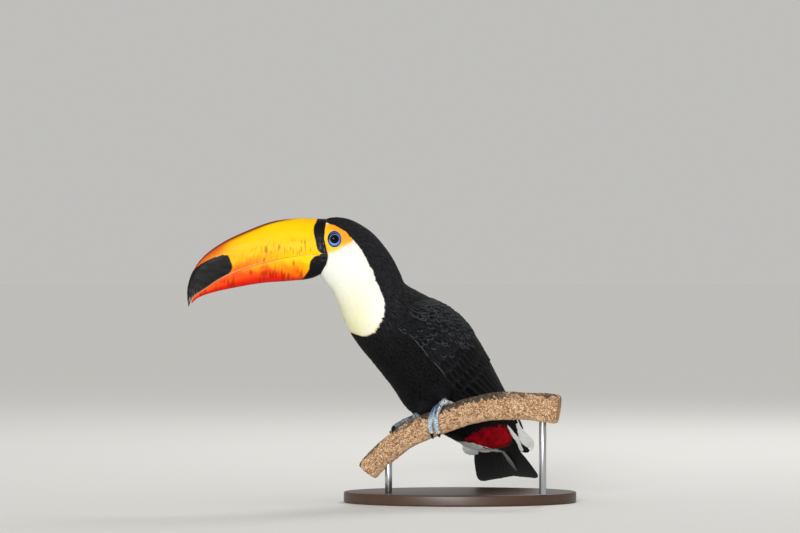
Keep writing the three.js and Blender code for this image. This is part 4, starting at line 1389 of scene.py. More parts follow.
@dataclass
class Bill:
    """Both halves of the bill.

    Attributes:
        rings: sections along each half.
        spokes: points down each side.
        half_width: of the upper half at its root.
        length: of the bill.
    """

    rings: int = 420
    spokes: int = 52
    half_width: float = 23.0
    length: float = 190.0
    culmen: Outline = field(default_factory=lambda: Outline(CULMEN))
    tomium: Outline = field(default_factory=lambda: Outline(TOMIUM))
    gonys: Outline = field(default_factory=lambda: Outline(GONYS))

    def width_at(self, u: Array) -> Array:
        """Half width of the upper bill."""
        return self.half_width * (1 - 0.9 * (np.clip(u, 0, self.length) / self.length) ** 1.6)

    def upper(self) -> Shell:
        """The upper half: culmen, sides that bulge a little above the mouth line, and the hook.

        Returns:
            The upper half.
        """
        share = (np.linspace(0, 1, self.rings) ** 0.9)[:, None]
        top, mouth = self.culmen.at(share[:, 0])[:, None], self.tomium.at(share[:, 0])[:, None]
        widest = np.radians(106)
        turn = np.linspace(0, widest, self.spokes)[None, :]
        level = ((np.cos(turn) - np.cos(widest)) / (1 - np.cos(widest)))[..., None]
        flat = mix(mouth, top, level)
        width = np.maximum(self.width_at((top[..., 0] + mouth[..., 0]) / 2), 1.2) * np.sin(turn) ** 0.82
        return self.surface(flat, width, self.upper_colour)

    def lower(self) -> Shell:
        """The lower half: a keel below the mouth line, just narrower than the upper half.

        Returns:
            The lower half.
        """
        share = (np.linspace(0, 1, self.rings) ** 0.9)[:, None]
        ahead, here = self.tomium.at(share[:, 0] * 0.95 + 1e-3), self.tomium.at(share[:, 0] * 0.95)
        run = (ahead - here) / np.linalg.norm(ahead - here, axis=1, keepdims=True)
        mouth = (here + pack(run[:, 1], -run[:, 0]) * 0.4)[:, None]
        keel = self.gonys.at(share[:, 0])[:, None]
        turn = np.linspace(np.pi / 2, 0, self.spokes)[None, :]
        flat = mix(mouth, keel, np.sin(turn)[..., None])
        width = np.maximum(self.width_at(mouth[..., 0]) * 0.94, 1) * np.abs(np.cos(turn)) ** 0.7
        width[:, 0] = 0
        return self.surface(flat, width, self.lower_colour)

    def surface(self, flat: Array, width: Array, paint: Callable[[Array], Array]) -> Shell:
        """Mirrors one side of a half bill and closes it.

        Args:
            flat: u, v of the points down one side.
            width: their w.
            paint: gives their colours.

        Returns:
            The half bill.
        """
        shift = [math.tan(HEAD.yaw), 0.0]
        seen = flat - width[..., None] * shift
        seam = inside(seen, BILL_SEAM)
        shades = paint(seen)
        band = np.maximum(inside(seen, UPPER_BAND), inside(seen, LOWER_BAND))
        places = concatenate([flat, width[..., None]], -1)
        swell = 0.3 * step(-0.8, 0.8, band) + 0.08 * waves(places * [0.25, 1, 1], 7, 41)
        swell = swell + 0.12 * step(0.0, 1.5, band) * waves(places * [1, 0.16, 0.3], 1.6, 42)
        nostril = np.hypot((seen[..., 0] - 15.5) / 3.4, seen[..., 1] - 20.6)
        swell = swell - 1.2 * step(1.0, 0.3, nostril)
        side = step(0.5, 4.0, width)
        tuck = 3.2 * step(-0.3, -4.0, seam)
        width = np.maximum(width + (swell - tuck) * side, 0)
        middle = flat.mean(1, keepdims=True)
        flat = flat + (middle - flat) * (tuck / 45)[..., None]
        left = HEAD.point(flat[..., 0], flat[..., 1], width)
        right = HEAD.point(flat[..., 0], flat[..., 1], -width)[:, ::-1]
        one_seam = width[:, :1].max() < 0.01
        right = right[:, :-1] if one_seam else right
        back = shades[:, ::-1][:, :-1] if one_seam else shades[:, ::-1]
        return loft(concatenate([left, right], 1)).dyed(concatenate([shades, back], 1))

    def upper_colour(self, flat: Array) -> Array:
        """Colours of the upper half: yellow, warmer forwards and along the mouth, with a black base and tip.

        Args:
            flat: u, v of the places.

        Returns:
            Linear colours.
        """
        u, v = flat[..., 0], flat[..., 1]
        at = pack(u, v, 0)
        top = np.interp(u, self.culmen.line[:800, 0], self.culmen.line[:800, 1])
        mouth = np.interp(u, self.tomium.line[:, 0], self.tomium.line[:, 1])
        level = np.clip((v - mouth) / np.maximum(top - mouth, 1), 0, 1)
        low = step(0.42, 0.0, level + 0.05 * waves(at, 9, 3))
        colour = tint("#EEC300", "#ECAA02", 0.8 * step(84, 160, u + 14 * waves(at, 30, 2)))
        colour = tint(colour, "#EE900A", 0.85 * low * step(44, 104, u))
        colour = tint(colour, "#DC6008", 0.85 * low * step(84, 122, u) * step(0.4, 0.05, level))
        colour = tint(colour, "#FFA914", 0.5 * step(0.82, 1.0, level) * step(52, 24, u))
        ridge = step(mix(0.96, 0.84, step(50, 130, u)), 0.985, level) * step(38, 84, u)
        colour = tint(colour, "#B42C08", 0.92 * ridge)
        outer = step(0.92, 0.985, level) * step(44, 80, u)
        streak = step(0.32, 0.66, waves(at * [1, 0.085, 0], 2.4, 5)) * step(0.56, 0.3, level)
        streak = streak * step(24, 36, u) * step(-0.45, 0.2, waves(at, 13, 7)) * step(124, 108, u)
        colour = tint(colour, "#8E4206", 0.7 * streak)
        fleck = step(0.35, 0.9, waves(at * [1, 0.3, 0], 1.5, 15)) * step(0.62, 0.4, level) * step(46, 80, u)
        colour = tint(colour, "#C8660A", 0.4 * fleck)
        strip = step(128, 150, u) * step(0.5, 0.9, level)
        colour = tint(colour, "#C24A1C", 0.85 * strip)
        colour = tint(colour, "#560E04", 0.9 * outer)
        spot = inside(flat, TIP_SPOT)
        spot = np.maximum(spot, inside(flat + [0.0, 1.5], TIP_SPOT))
        speck = step(0.35, 1.0, waves(at, 1.5, 12)) * step(-26, -70, v)
        worn = step(0.1, 0.9, waves(at * [1, 0.2, 0], 1.7, 13)) * step(-60, -84, v)
        charcoal = tint("#121113", "#4A4B48", 0.5 * speck)
        charcoal = tint(charcoal, "#A8A8A4", 0.8 * worn)
        colour = tint(colour, charcoal, step(-0.4, 0.4, spot + 0.3 * waves(at, 3, 8)))
        lip = step(0.045, 0.0, level) * step(60, 110, u)
        colour = tint(colour, "#F0A070", 0.75 * lip)
        band = inside(flat, UPPER_BAND)
        # Grey streaks on the black band at the base are a painted sheen.
        worn = step(0.1, 0.9, waves(at * [1, 0.2, 0], 1.5, 9)) * step(4, -3, v) * step(-19, -12, v)
        return tint(colour, tint("#121113", "#66636A", 0.8 * worn), step(-0.4, 0.4, band))

    def lower_colour(self, flat: Array) -> Array:
        """Colours of the lower half: yellow at its base, orange and then red forwards and below.

        Args:
            flat: u, v of the places.

        Returns:
            Linear colours.
        """
        u, v = flat[..., 0], flat[..., 1]
        at = pack(u, v, 0)
        mouth = np.interp(u, self.tomium.line[:, 0], self.tomium.line[:, 1])
        keel = np.interp(u, self.gonys.line[:, 0], self.gonys.line[:, 1])
        level = np.clip((mouth - v) / np.maximum(mouth - keel, 1), 0, 1)
        warm = level * 0.85 + (u - 54) / 118 + 0.1 * waves(at, 14, 4)
        colour = tint("#FFCC02", "#FB9A06", step(0.08, 0.46, warm))
        colour = tint(colour, "#EE4F0E", step(0.36, 0.78, warm))
        colour = tint(colour, "#D81E0C", step(0.6, 1.0, warm) * step(0.35, 0.85, level))
        streak = step(0.0, 0.5, waves(at * [1, 0.1, 0], 2.6, 6)) * step(32, 46, u) * step(0.05, 0.3, level)
        colour = tint(colour, "#941E04", 0.62 * streak * step(-0.9, 0.2, waves(at, 12, 16)))
        band = inside(flat, LOWER_BAND)
        worn = step(0.3, 1.0, waves(at * [0.3, 1, 0], 2.0, 10)) * step(-40, -26, v)
        return tint(colour, tint("#121113", "#3A383C", 0.5 * worn), step(-0.4, 0.4, band))


# ---- eyes ----


@dataclass
class Eyes:
    """Eyeballs and the bare blue skin round them.

    Attributes:
        radius: of the eyeball.
        sunk: how far its middle lies inside the cheek.
        forward: how far it lies in front of the head's middle.
        opening: half width and half height of the gap between the lids.
        rim: half width and half height of the blue skin.
    """

    radius: float = 8.6
    sunk: float = 5.4
    forward: float = 2.9
    opening: Pair = (5.8, 5.5)
    rim: Pair = (8.8, 10.6)
    sheet: Array = field(init=False)
    cheek: float = field(init=False)

    def __post_init__(self) -> None:
        """Measures the cheek, to seat the eyes on it."""
        s, angle = np.meshgrid(np.arange(0, 4.5, 0.04), np.arange(30, 140, 1.0), indexing="ij")
        self.sheet = HEAD.coordinates(BODY.point(s, angle)).reshape(-1, 3)
        level = np.hypot(self.sheet[:, 0] - self.forward, self.sheet[:, 1]) < 2.5
        self.cheek = float(self.sheet[level, 2].max())

    def surface(self, u: Array, v: Array) -> Array:
        """Distance of the cheek from the head's middle plane.

        Args:
            u: places forwards.
            v: places upwards.

        Returns:
            The distance for each place.
        """
        flat = pack(u.ravel(), v.ravel())
        out = np.empty(len(flat))
        for start in range(0, len(flat), 400):
            gap = ((flat[start : start + 400, None] - self.sheet[None, :, :2]) ** 2).sum(-1)
            near = np.argpartition(gap, 6, axis=1)[:, :6]
            weight = 1 / (np.take_along_axis(gap, near, 1) + 0.05)
            out[start : start + 400] = (self.sheet[near, 2] * weight).sum(1) / weight.sum(1)
        return out.reshape(u.shape)

    def ball(self, side: Side) -> Shell:
        """A wet, dark eye: black pupil and deep brown iris.

        Args:
            side: which eye.

        Returns:
            The ball.
        """
        polar, turn = np.linspace(0.02, np.pi - 0.02, 64)[:, None], once_round(96)[None, :]
        away = np.sin(polar) * self.radius
        u, v = away * np.cos(turn), away * np.sin(turn)
        w = self.cheek - self.sunk + np.cos(polar) * self.radius
        iris = tint("#0C0604", "#1C0E09", step(2.2, 5.2, away + 0.3 * np.cos(turn * 37)))
        colour = tint("#030303", iris, step(2.9, 3.3, away))
        shell = loft(HEAD.point(self.forward + u, v, side.value * w))
        return shell.dyed(colour, np.full((2, 3), 0.002))

    def ring(self, side: Side) -> Shell:
        """Blue skin round the eye: lids close on the ball, then folds that die out on the cheek.

        Args:
            side: which eye.

        Returns:
            The skin.
        """
        turn, share = once_round(144)[None, :], np.linspace(0, 1, 40)[:, None]
        wide = mix(self.opening[0], self.rim[0], share)
        tall = mix(self.opening[1], self.rim[1], share)
        wobble = 1 + 0.004 * np.cos(turn * 7 + 1) * share
        u, v = wide * np.cos(turn) * wobble, tall * np.sin(turn) * wobble
        ball = self.cheek - self.sunk + np.sqrt(np.maximum(self.radius**2 - u**2 - v**2, 4.0))
        skin = self.surface(self.forward + u, v) + 0.05
        crest = mix(ball + 0.35, skin + 0.9, step(0.0, 0.55, share))
        folds = 0.16 * np.cos(share * 2 * np.pi * 4.2 + 0.8 * np.cos(turn * 3)) * step(0.12, 0.3, share)
        fine = 0.08 * np.cos(turn * 46 + 3 * np.cos(share * 9)) * step(0.2, 0.5, share)
        w = mix(crest + folds + fine, skin - 0.6, step(0.86, 1.0, share))
        lip = concatenate([ball[:1] - 0.6, w, skin[-1:] - 5.0, ball[:1] - 5.0])
        around, height = (concatenate([way[:1], way, way[-1:], way[:1]]) for way in (u, v))
        points = HEAD.point(self.forward + around, height, side.value * lip)
        count, size, _ = points.shape
        level = concatenate([[[0.0]], share, [[1.0]], [[0.0]]])
        bright = level + 0.1 * np.cos(turn - 2.3)
        colour = tint("#86B0F4", "#2E62CC", step(0.12, 0.42, bright))
        colour = tint(colour, "#3A6FE0", step(0.4, 0.55, level) * step(0.2, 0.9, -np.sin(turn)))
        colour = tint(colour, "#12275C", step(0.6, 0.74, level))
        colour = tint(colour, "#070D1C", step(0.74, 0.84, level))
        colour = tint(colour, "#2A4A90", step(0.08, 0.02, level))
        none = np.zeros((0, 3), int)
        return Shell(points.reshape(-1, 3), lattice(count, size, True), none, colour.reshape(-1, 3)).outward()


# ---- wings and tail ----


@dataclass(frozen=True)
class Tier:
    """One row of wing feathers: pairs are the values of the first and the last."""

    count: int
    root: Pair
    tip: Pair
    root_angle: Pair
    tip_angle: Pair
    half_width: float
    stand: float
    shape: VaneShape
    colour: str


@dataclass
class Wing:
    """A folded wing: tiers of feathers from the flight feathers up to the smallest coverts."""

    tiers: tuple[Tier, ...] = (
        Tier(8, (14.2, 13.6), (17.2, 18.95), (94, 72), (80, 52), 6.5, 0.8, QUILL, "#070708"),
        Tier(9, (13.6, 12.8), (16.2, 17.4), (100, 34), (90, 32), 9.0, 1.2, QUILL, "#080809"),
        Tier(11, (12.6, 12.2), (14.7, 15.3), (108, 36), (102, 34), 7.0, 1.5, QUILL, "#0A0A0B"),
        Tier(13, (12.1, 11.9), (13.9, 14.4), (107, 36), (106, 34), 5.6, 1.6, BROAD, "#0C0C0E"),
        Tier(15, (11.6, 11.5), (13.1, 13.5), (105, 36), (107, 34), 4.8, 1.6, BROAD, "#0F0F12"),
        Tier(16, (11.2, 11.1), (12.5, 12.8), (102, 36), (106, 34), 4.3, 1.6, BROAD, "#161619"),
        Tier(16, (10.8, 10.8), (11.9, 12.1), (97, 37), (103, 35), 4.0, 1.5, BROAD, "#161619"),
        Tier(16, (10.45, 10.5), (11.4, 11.6), (90, 40), (98, 37), 3.7, 1.3, BROAD, "#141417"),
        Tier(15, (10.1, 10.2), (10.95, 11.1), (82, 44), (90, 41), 3.3, 1.0, BROAD, "#131316"),
        Tier(2, (10.3, 11.6), (11.8, 13.2), (107, 112), (112, 110), 0.5, 2.3, BROAD, "#5A5A5E"),
        Tier(6, (12.6, 12.2), (15.2, 15.6), (40, 24), (38, 20), 7.0, 1.3, BROAD, "#0F0F12"),
        Tier(7, (11.9, 11.6), (14.2, 14.5), (42, 24), (40, 20), 6.0, 1.6, BROAD, "#131316"),
        Tier(7, (11.2, 11.0), (13.2, 13.4), (42, 24), (40, 20), 5.2, 1.8, BROAD, "#19191D"),
    )

    def build(self, side: Side) -> Shell:
        """All the wing's feathers.

        Args:
            side: which wing.

        Returns:
            The feathers.
        """

        def place(a: Array, b: Array, h: Array) -> Array:
            """Places over the folded wing."""
            return BODY.point(a, b * side.value, BODY.wing_height(a, b) + h)

        shells = []
        for number, tier in enumerate(self.tiers):
            share = np.linspace(0, 1, tier.count)
            rng = default_rng(400 + number)
            root = pack(mix(*tier.root, share), mix(*tier.root_angle, share))
            tip = pack(mix(*tier.tip, share), mix(*tier.tip_angle, share))
            tip = tip + rng.normal(0, 1, tip.shape) * [0.05, 0.6]
            middle = (root + tip) / 2
            _, across = BODY.scale(middle[:, 0], middle[:, 1])
            side_step = pack(0, tier.half_width / across)
            colour = rgb(tier.colour) * rng.uniform(0.85, 1.15, (tier.count, 1))
            vanes = Vanes(
                root=root, reach=tip - root, side=side_step, sunk=np.full(tier.count, 1.4),
                stand=np.full(tier.count, tier.stand), shape=tier.shape, colour=colour,
                chart=chart_of(root[:, 0], root[:, 1] * side.value), seed=500 + number,
            )
            shells.append(vanes.build(place))
        return join(shells)


@dataclass
class Bunch:
    """Loose feathers in a slim, rounded bunch along a line.

    Attributes:
        line: its middle, from the body outwards.
        out: direction away from the body.
        half: half its width.
        puff: how far its middle stands out.
        length: of a feather.
        count: of feathers.
        colour: of the feathers at its root.
        end: of those at its end.
        taper: how far the outer feathers turn in to its middle.
    """

    line: Outline
    out: Array
    half: float
    puff: float
    length: float
    count: int
    colour: str = "#F6F4EE"
    end: str = "#F6F4EE"
    taper: float = 0.3

    def point(self, share: Array, across: Array, height: Array) -> Array:
        """Places on the bunch: share of its line, distance across it and height over it.

        Args:
            share: of its line.
            across: distance from its line.
            height: distance over it.

        Returns:
            Places with x, y, z in a new last axis.
        """
        share, across, height = np.broadcast_arrays(share, across, height)
        run = unit(self.line.at(np.clip(share + 0.02, 0, 1)) - self.line.at(np.clip(share - 0.02, 0, 1)))
        side = unit(np.cross(run, self.out))
        beyond = (np.maximum(share - 1, 0) * self.line.length)[..., None]
        middle = self.line.at(np.clip(share, 0, 1)) + run * beyond
        return middle + across[..., None] * side + height[..., None] * np.cross(side, run)

    def build(self, seed: int) -> Shell:
        """Makes the bunch's feathers.

        Args:
            seed: chooses their places.

        Returns:
            The feathers.
        """
        rng = default_rng(seed)
        n = self.count
        share = rng.uniform(0, 0.8, n)
        q = rng.uniform(-1, 1, n)
        girth = self.half * np.sin(np.pi * (0.12 + 0.8 * share)) ** 0.8
        length = self.length * rng.uniform(0.88, 1.1, n)
        tone = mix(rgb(self.colour), rgb(self.end), share[:, None] / 0.8)
        bulge = self.puff * np.sqrt(1 - 0.95 * q**2) * np.sin(np.pi * np.clip(share + 0.15, 0, 1))
        vanes = Vanes(
            root=pack(share, q * girth),
            reach=pack(length / self.line.length, -self.taper * q * girth * step(0.4, 0.8, share)),
            side=pack(0, rng.uniform(0.6, 1.0, n)), sunk=0.8 - bulge,
            stand=bulge + rng.uniform(-0.3, 0.3, n), shape=DOWN,
            colour=tone * rng.uniform(0.92, 1.03, (n, 1)),
            chart=pack(0.94 + share * 0.02, 0.2 + q * 0.02 + 0.0001 * seed), seed=seed + 1,
        )
        return vanes.build(self.point)


def bunches() -> list[Bunch]:
    """The white strip and the white oval beside the red coverts, and a grey feather under the tail whose grey
    is a painted highlight along a tail feather's edge.

    Returns:
        The bunches, before they are built.
    """
    beside = 0.8 * TAIL.left - 0.6 * TAIL.up
    strip = Outline([BODY.point(17.6, 97, 0.2), BODY.point(18.04, 104, 0.4), BODY.point(18.46, 108.5, 1.0),
                     TAIL.point(21, 36, -7), TAIL.point(41, 36.5, -7)])
    oval = Outline([BODY.point(18.1, 78, 0.0), BODY.point(18.5, 91, 1.5), BODY.point(18.9, 95, 4.5),
                    BODY.point(19.3, 95, 7.0), TAIL.point(43, 46, -4)])
    lobe = Outline([TAIL.point(0, -31, -6.5), TAIL.point(14, -31, -9), TAIL.point(28, -30.5, -8.5),
                    TAIL.point(42, -29.5, -6)])
    point = Outline([TAIL.point(8, -25, -7), TAIL.point(19, -20, -9), TAIL.point(30, -14.5, -8.5),
                     TAIL.point(41, -9, -6)])
    under = Outline([TAIL.point(34, 7.5, -7.5), TAIL.point(60, 10.5, -6.5), TAIL.point(84, 12.4, -5.8),
                     TAIL.point(108, 14, -5.2)])
    return [
        Bunch(strip, beside, 2.5, 0.8, 9.0, 220),
        Bunch(oval, beside, 6.6, 3.0, 10.0, 520),
        # The lobe and the point are pure white, whiter than the other white feathers: painted light against
        # the shade that falls on them under the branch.
        Bunch(lobe, -TAIL.up, 9.0, 3.6, 9.0, 1300, "#FFFFFF", "#FFFFFF"),
        Bunch(point, -TAIL.up, 5.4, 2.2, 8.0, 600, "#FFFFFF", "#FFFFFF"),
        # Grey at its root, dark at its end: a painted highlight along the edge of a tail feather.
        Bunch(under, -TAIL.up, 2.2, 0.4, 24.0, 90, "#9A9896", "#3C3B3A", 0.95),
    ]


@dataclass
class Tail:
    """Ten long feathers in a flat fan, and the loose white coverts over their roots.

    Attributes:
        length: of the middle feathers, from inside the rump.
        feathers: how many there are.
        half_width: of each.
        small: how many coverts there are.
        small_length: of a covert.
        small_width: of a covert.
        reach: how far they grow to the right and the left, as shares of the fan.
        run: first and last place of them along the tail.
        fan: half the fan's width there.
        rise: height of their tips there.
    """

    length: float = 144.0
    feathers: int = 10
    half_width: float = 14.5
    small: int = 1900
    small_length: float = 15.0
    small_width: float = 2.0
    reach: Pair = (-0.95, 0.8)
    run: Pair = (-4.0, 50.0)
    fan: Pair = (30.0, 38.0)
    rise: Pair = (14.0, 12.8)

    def quills(self) -> Shell:
        """The ten feathers: the middle pair on top, each next pair shorter and lower.

        Returns:
            The feathers.
        """
        i = np.arange(self.feathers)
        side = np.where(i % 2, -1.0, 1.0)
        rank = i // 2 + 0.5
        level = ((self.feathers - 1) / 2 - i) * 0.86
        length = self.length - 1.1 * rank**1.6
        root = pack(0, side * rank * 2.4)
        reach = pack(length, side * rank * (6.6 - 2.4))
        width = pack(0, np.full(len(i), self.half_width))
        shape = VaneShape(
            rows=(0.0, 0.12, 0.3, 0.5, 0.7, 0.84, 0.92, 0.97, 1.0),
            widths=(0.55, 0.7, 0.9, 1.0, 1.0, 0.97, 0.86, 0.66, 0.3),
            columns=(-1.0, -0.5, -0.06, 0.06, 0.5, 1.0),
            camber=0.5,
            fray=0.004,
        )
        vanes = Vanes(
            root=root, reach=reach, side=width, sunk=-level, stand=level, shape=shape,
            colour=np.tile(rgb("#0B0B0D"), (len(i), 1)), chart=0.5 + root * 0.001, seed=71,
        )
        return vanes.build(TAIL.point)

    def coverts(self, seed: int) -> Shell:
        """Loose white feathers over the tail's root.

        Args:
            seed: chooses their places.

        Returns:
            The feathers.
        """
        rng = default_rng(seed)
        n = self.small
        span = rng.uniform(0, 1, n)
        share = rng.uniform(*self.reach, n)
        along, across = mix(*self.run, span), share * mix(*self.fan, span)
        level = mix(*self.rise, span) - 3 * share**2 * span
        length = rng.uniform(0.8, 1.15, n) * self.small_length
        vanes = Vanes(
            root=pack(along, across), reach=pack(length, across * 0.012 * length),
            side=pack(0, rng.uniform(0.8, 1.2, n) * self.small_width / 2), sunk=1.5 - level,
            stand=level + rng.uniform(-1.6, 0, n) - 4.5 * span, shape=DOWN,
            colour=rgb("#F1EFE9") * rng.uniform(0.94, 1.03, (n, 1)),
            chart=pack(0.9 + along * 0.001, 0.5 + across * 0.005), seed=seed + 1,
        )
        return vanes.build(TAIL.point)


# ---- feet ----


# The branch's middle line: x and z.
BRANCH = [
    (-119, 41), (-112, 49.6), (-97, 64.4), (-82.5, 76.2), (-71, 85), (-58, 92.5), (-45, 98.6), (-30, 104.3),
    (-3, 114.8), (12, 119.8), (31, 124.2), (50, 126.4), (69, 126.9), (88, 126.2), (107, 124.6), (124, 122.4),
]


@dataclass
class Perch:
    """The cut branch, and places round it.

    Attributes:
        left: its radius at the left end.
        right: its radius at the right end.
        length: of its middle line, for the bark's pattern.
    """

    left: float = 15.0
    right: float = 19.0
    length: float = 262.0
    line: Outline = field(default_factory=lambda: Outline([[x, -57 - 0.2 * x, z] for x, z in BRANCH]))

    def frames(self, share: Array) -> tuple[Array, Array, Array]:
        """Middle, across and up directions at shares of the length.

        Args:
            share: of the length.

        Returns:
            The three for each share.
        """
        middle = self.line.at(share)
        run = unit(self.line.at(np.minimum(share + 0.004, 1)) - self.line.at(np.maximum(share - 0.004, 0)))
        across = unit(np.cross(np.array([0.0, 0.0, 1.0]), run))
        return middle, across, np.cross(run, across)

    def point(self, share: Array, angle: Array, height: Array) -> Array:
        """Places round the branch: angle 0 far side, 90 top, 180 near side, height over the bark.

        Args:
            share: of the length.
            angle: degrees round it.
            height: distance over the bark.

        Returns:
            Places with x, y, z in a new last axis.
        """
        share, angle, height = np.broadcast_arrays(share, angle, height)
        middle, across, up = self.frames(share)
        radius = (mix(self.left, self.right, share) + height)[..., None]
        turn = np.radians(angle)[..., None]
        return middle + across * radius * np.cos(turn) + up * radius * np.sin(turn)

    def share(self, x: Array) -> Array:
        """Share of the length at a place along X."""
        return np.interp(x, self.line.line[:, 0], self.line.share)

    def bark(self) -> Shell:
        """Corky bark: small granules with dark pits between them, darker along the top, painted lighter
        below, cut ends.

        Returns:
            The branch.
        """
        share = np.linspace(0, 1, 440)[:, None]
        angle = np.linspace(0, 360, 200, endpoint=False)[None, :]
        base = self.point(share, angle, 0.0)
        around, along = angle / 360, share * self.length
        fine, tone = cells(along / 2.1 + 0.25 * waves(base, 9, 25), around * 52, 52, 22)
        coarse, patch = cells(along / 7.5, around * 15, 15, 23)
        broad = waves(base, 36, 21)
        turn = np.sin(np.radians(angle))
        # Darker along the top, and over a broad band where the bird stands.
        under_foot = step(0.33, 0.36, share) * step(0.86, 0.7, share)
        worn = step(0.5, 0.66, turn + 0.16 * waves(base, 5, 24)) * under_foot
        worn = np.maximum(worn, step(0.8, 0.92, turn + 0.25 * waves(base, 11, 26)) * 0.8)
        smooth = step(-0.5, -0.9, turn + 0.3 * waves(base, 9, 28))
        grain = step(0.0, 0.45, fine) * (1 - 0.6 * smooth)
        relief = -1.2 + 0.6 * broad + 0.78 * grain + 0.35 * step(0.0, 0.3, coarse) - 0.2 * worn * tone
        end = step(0.0, 0.012, share) * step(1.0, 0.988, share)
        points = self.point(share, angle, np.minimum(relief, 0.15) - 1.2 * (1 - end))
        colour = tint("#A0663E", "#FFDDB4", np.clip(tone * 0.8 + 0.2 * patch, 0, 1))
        colour = tint("#3A2014", colour, mix(step(0.02, 0.22, fine), 1.0, 0.6 * smooth))
        # The smooth underside is painted lighter: painted light that offsets the shade below the branch.
        colour = tint(colour, "#FAD3AA", 0.5 * smooth)
        dark = tint("#2E2926", "#6A635C", tone * step(0.1, 0.4, fine))
        colour = tint(colour, dark, 0.92 * worn)
        knot = step(3.4, 2.2, np.hypot(along - 132, around * 107 - 64))
        colour = tint(colour, "#8A5A3A", 0.5 * knot)
        shell = loft(points).dyed(colour, np.tile(rgb("#C79A68"), (2, 1)))
        dense = (1 - worn) * (1 - 0.55 * smooth) * end * step(-0.7, 0.3, waves(base, 14, 27))
        shell.grain = concatenate([np.broadcast_to(dense, worn.shape).ravel(), np.zeros(2)])
        return shell


@dataclass
class Granules:
    """Corky grains that stand on the bark: a node tree scatters them.

    Attributes:
        spacing: least distance between two of them.
        smallest: smallest radius.
        largest: largest radius.
        seed: chooses the pattern.
        densest: how many are tried on a square metre.
        flattest: least share of the radius along, across and upwards.
        longest: the most.
    """

    spacing: float = 1.5
    smallest: float = 0.5
    largest: float = 1.25
    seed: int = 5
    densest: float = 900_000.0
    flattest: Spot = (0.6, 0.6, 0.35)
    longest: Spot = (1.6, 1.2, 0.65)

    def tree(self, material: Material) -> NodeTree:
        """Builds the node tree.

        Args:
            material: of the grains.

        Returns:
            The tree, with inputs Spacing, Smallest, Largest and Seed.
        """
        tree = bpy.data.node_groups.new("cork grains", "GeometryNodeTree")
        tree.interface.new_socket("Geometry", in_out="INPUT", socket_type="NodeSocketGeometry")
        for name in ("Spacing", "Smallest", "Largest"):
            tree.interface.new_socket(name, in_out="INPUT", socket_type="NodeSocketFloat")
        tree.interface.new_socket("Seed", in_out="INPUT", socket_type="NodeSocketInt")
        tree.interface.new_socket("Geometry", in_out="OUTPUT", socket_type="NodeSocketGeometry")
        add = partial(add_node, tree)
        entry = add("NodeGroupInput").outputs
        grain = add("GeometryNodeInputNamedAttribute", {"data_type": "FLOAT"}, {"Name": "Grain"})
        spread = add("GeometryNodeDistributePointsOnFaces", {"distribute_method": "POISSON"}, {
            "Mesh": entry["Geometry"], "Distance Min": entry["Spacing"], "Density Max": self.densest,
            "Density Factor": grain, "Seed": entry["Seed"],
        })
        ball = add("GeometryNodeMeshIcoSphere", {}, {"Radius": 1.0, "Subdivisions": 1})
        drawn = {"Min": entry["Smallest"], "Max": entry["Largest"], "Seed": entry["Seed"]}
        size = add("FunctionNodeRandomValue", {"data_type": "FLOAT"}, drawn)
        drawn = {"Min": self.flattest, "Max": self.longest, "Seed": entry["Seed"]}
        squash = add("FunctionNodeRandomValue", {"data_type": "FLOAT_VECTOR"}, drawn)
        scale = add("ShaderNodeVectorMath", {"operation": "SCALE"}, {"Vector": squash, "Scale": size})
        grains = add("GeometryNodeInstanceOnPoints", {}, {
            "Points": spread.outputs["Points"], "Instance": ball.outputs["Mesh"],
            "Rotation": spread.outputs["Rotation"], "Scale": scale,
        })
        lot = add("FunctionNodeRandomValue", {"data_type": "FLOAT"}, {"Min": 0.0, "Max": 1.0, "Seed": 11})
        tone = add("ShaderNodeMix", BLEND, {"Factor": lot, "A": rgba("#9C5C2E"), "B": rgba("#FFE2B8")})
        kept = {"data_type": "FLOAT_COLOR", "domain": "INSTANCE"}
        dyed = {"Geometry": grains, "Name": "Coat", "Value": tone}
        made = add("GeometryNodeStoreNamedAttribute", kept, dyed)
        made = add("GeometryNodeRealizeInstances", {}, {"Geometry": made})
        made = add("GeometryNodeSetShadeSmooth", {}, {"Geometry": made})
        made = add("GeometryNodeSetMaterial", {}, {"Geometry": made, "Material": material})
        add("NodeGroupOutput", {}, {"Geometry": made})
        return tree

    def grow(self, host: Object, material: Material) -> Object:
        """Scatters the grains over the bark and turns them into one plain mesh.

        Args:
            host: the bark, with its Grain attribute.
            material: of the grains.

        Returns:
            The grains.
        """
        tree = self.tree(material)
        grown = bpy.data.objects.new("cork_grains", host.data.copy())
        bpy.context.scene.collection.objects.link(grown)
        scatter = grown.modifiers.new("grains", "NODES")
        scatter.node_group = tree
        inputs = (entry for entry in tree.interface.items_tree if entry.in_out == "INPUT")
        keys = {entry.name: entry.identifier for entry in inputs}
        sizes = {"Spacing": self.spacing, "Smallest": self.smallest, "Largest": self.largest}
        for name, value in sizes.items():
            scatter[keys[name]] = value * METRES
        scatter[keys["Seed"]] = self.seed
        graph = bpy.context.evaluated_depsgraph_get()
        mesh = bpy.data.meshes.new_from_object(grown.evaluated_get(graph))
        grown.modifiers.clear()
        spare, grown.data = grown.data, mesh
        bpy.data.meshes.remove(spare)
        LOG.info("%s: %d faces", grown.name, len(mesh.polygons))
        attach(grown, "root")
        return grown


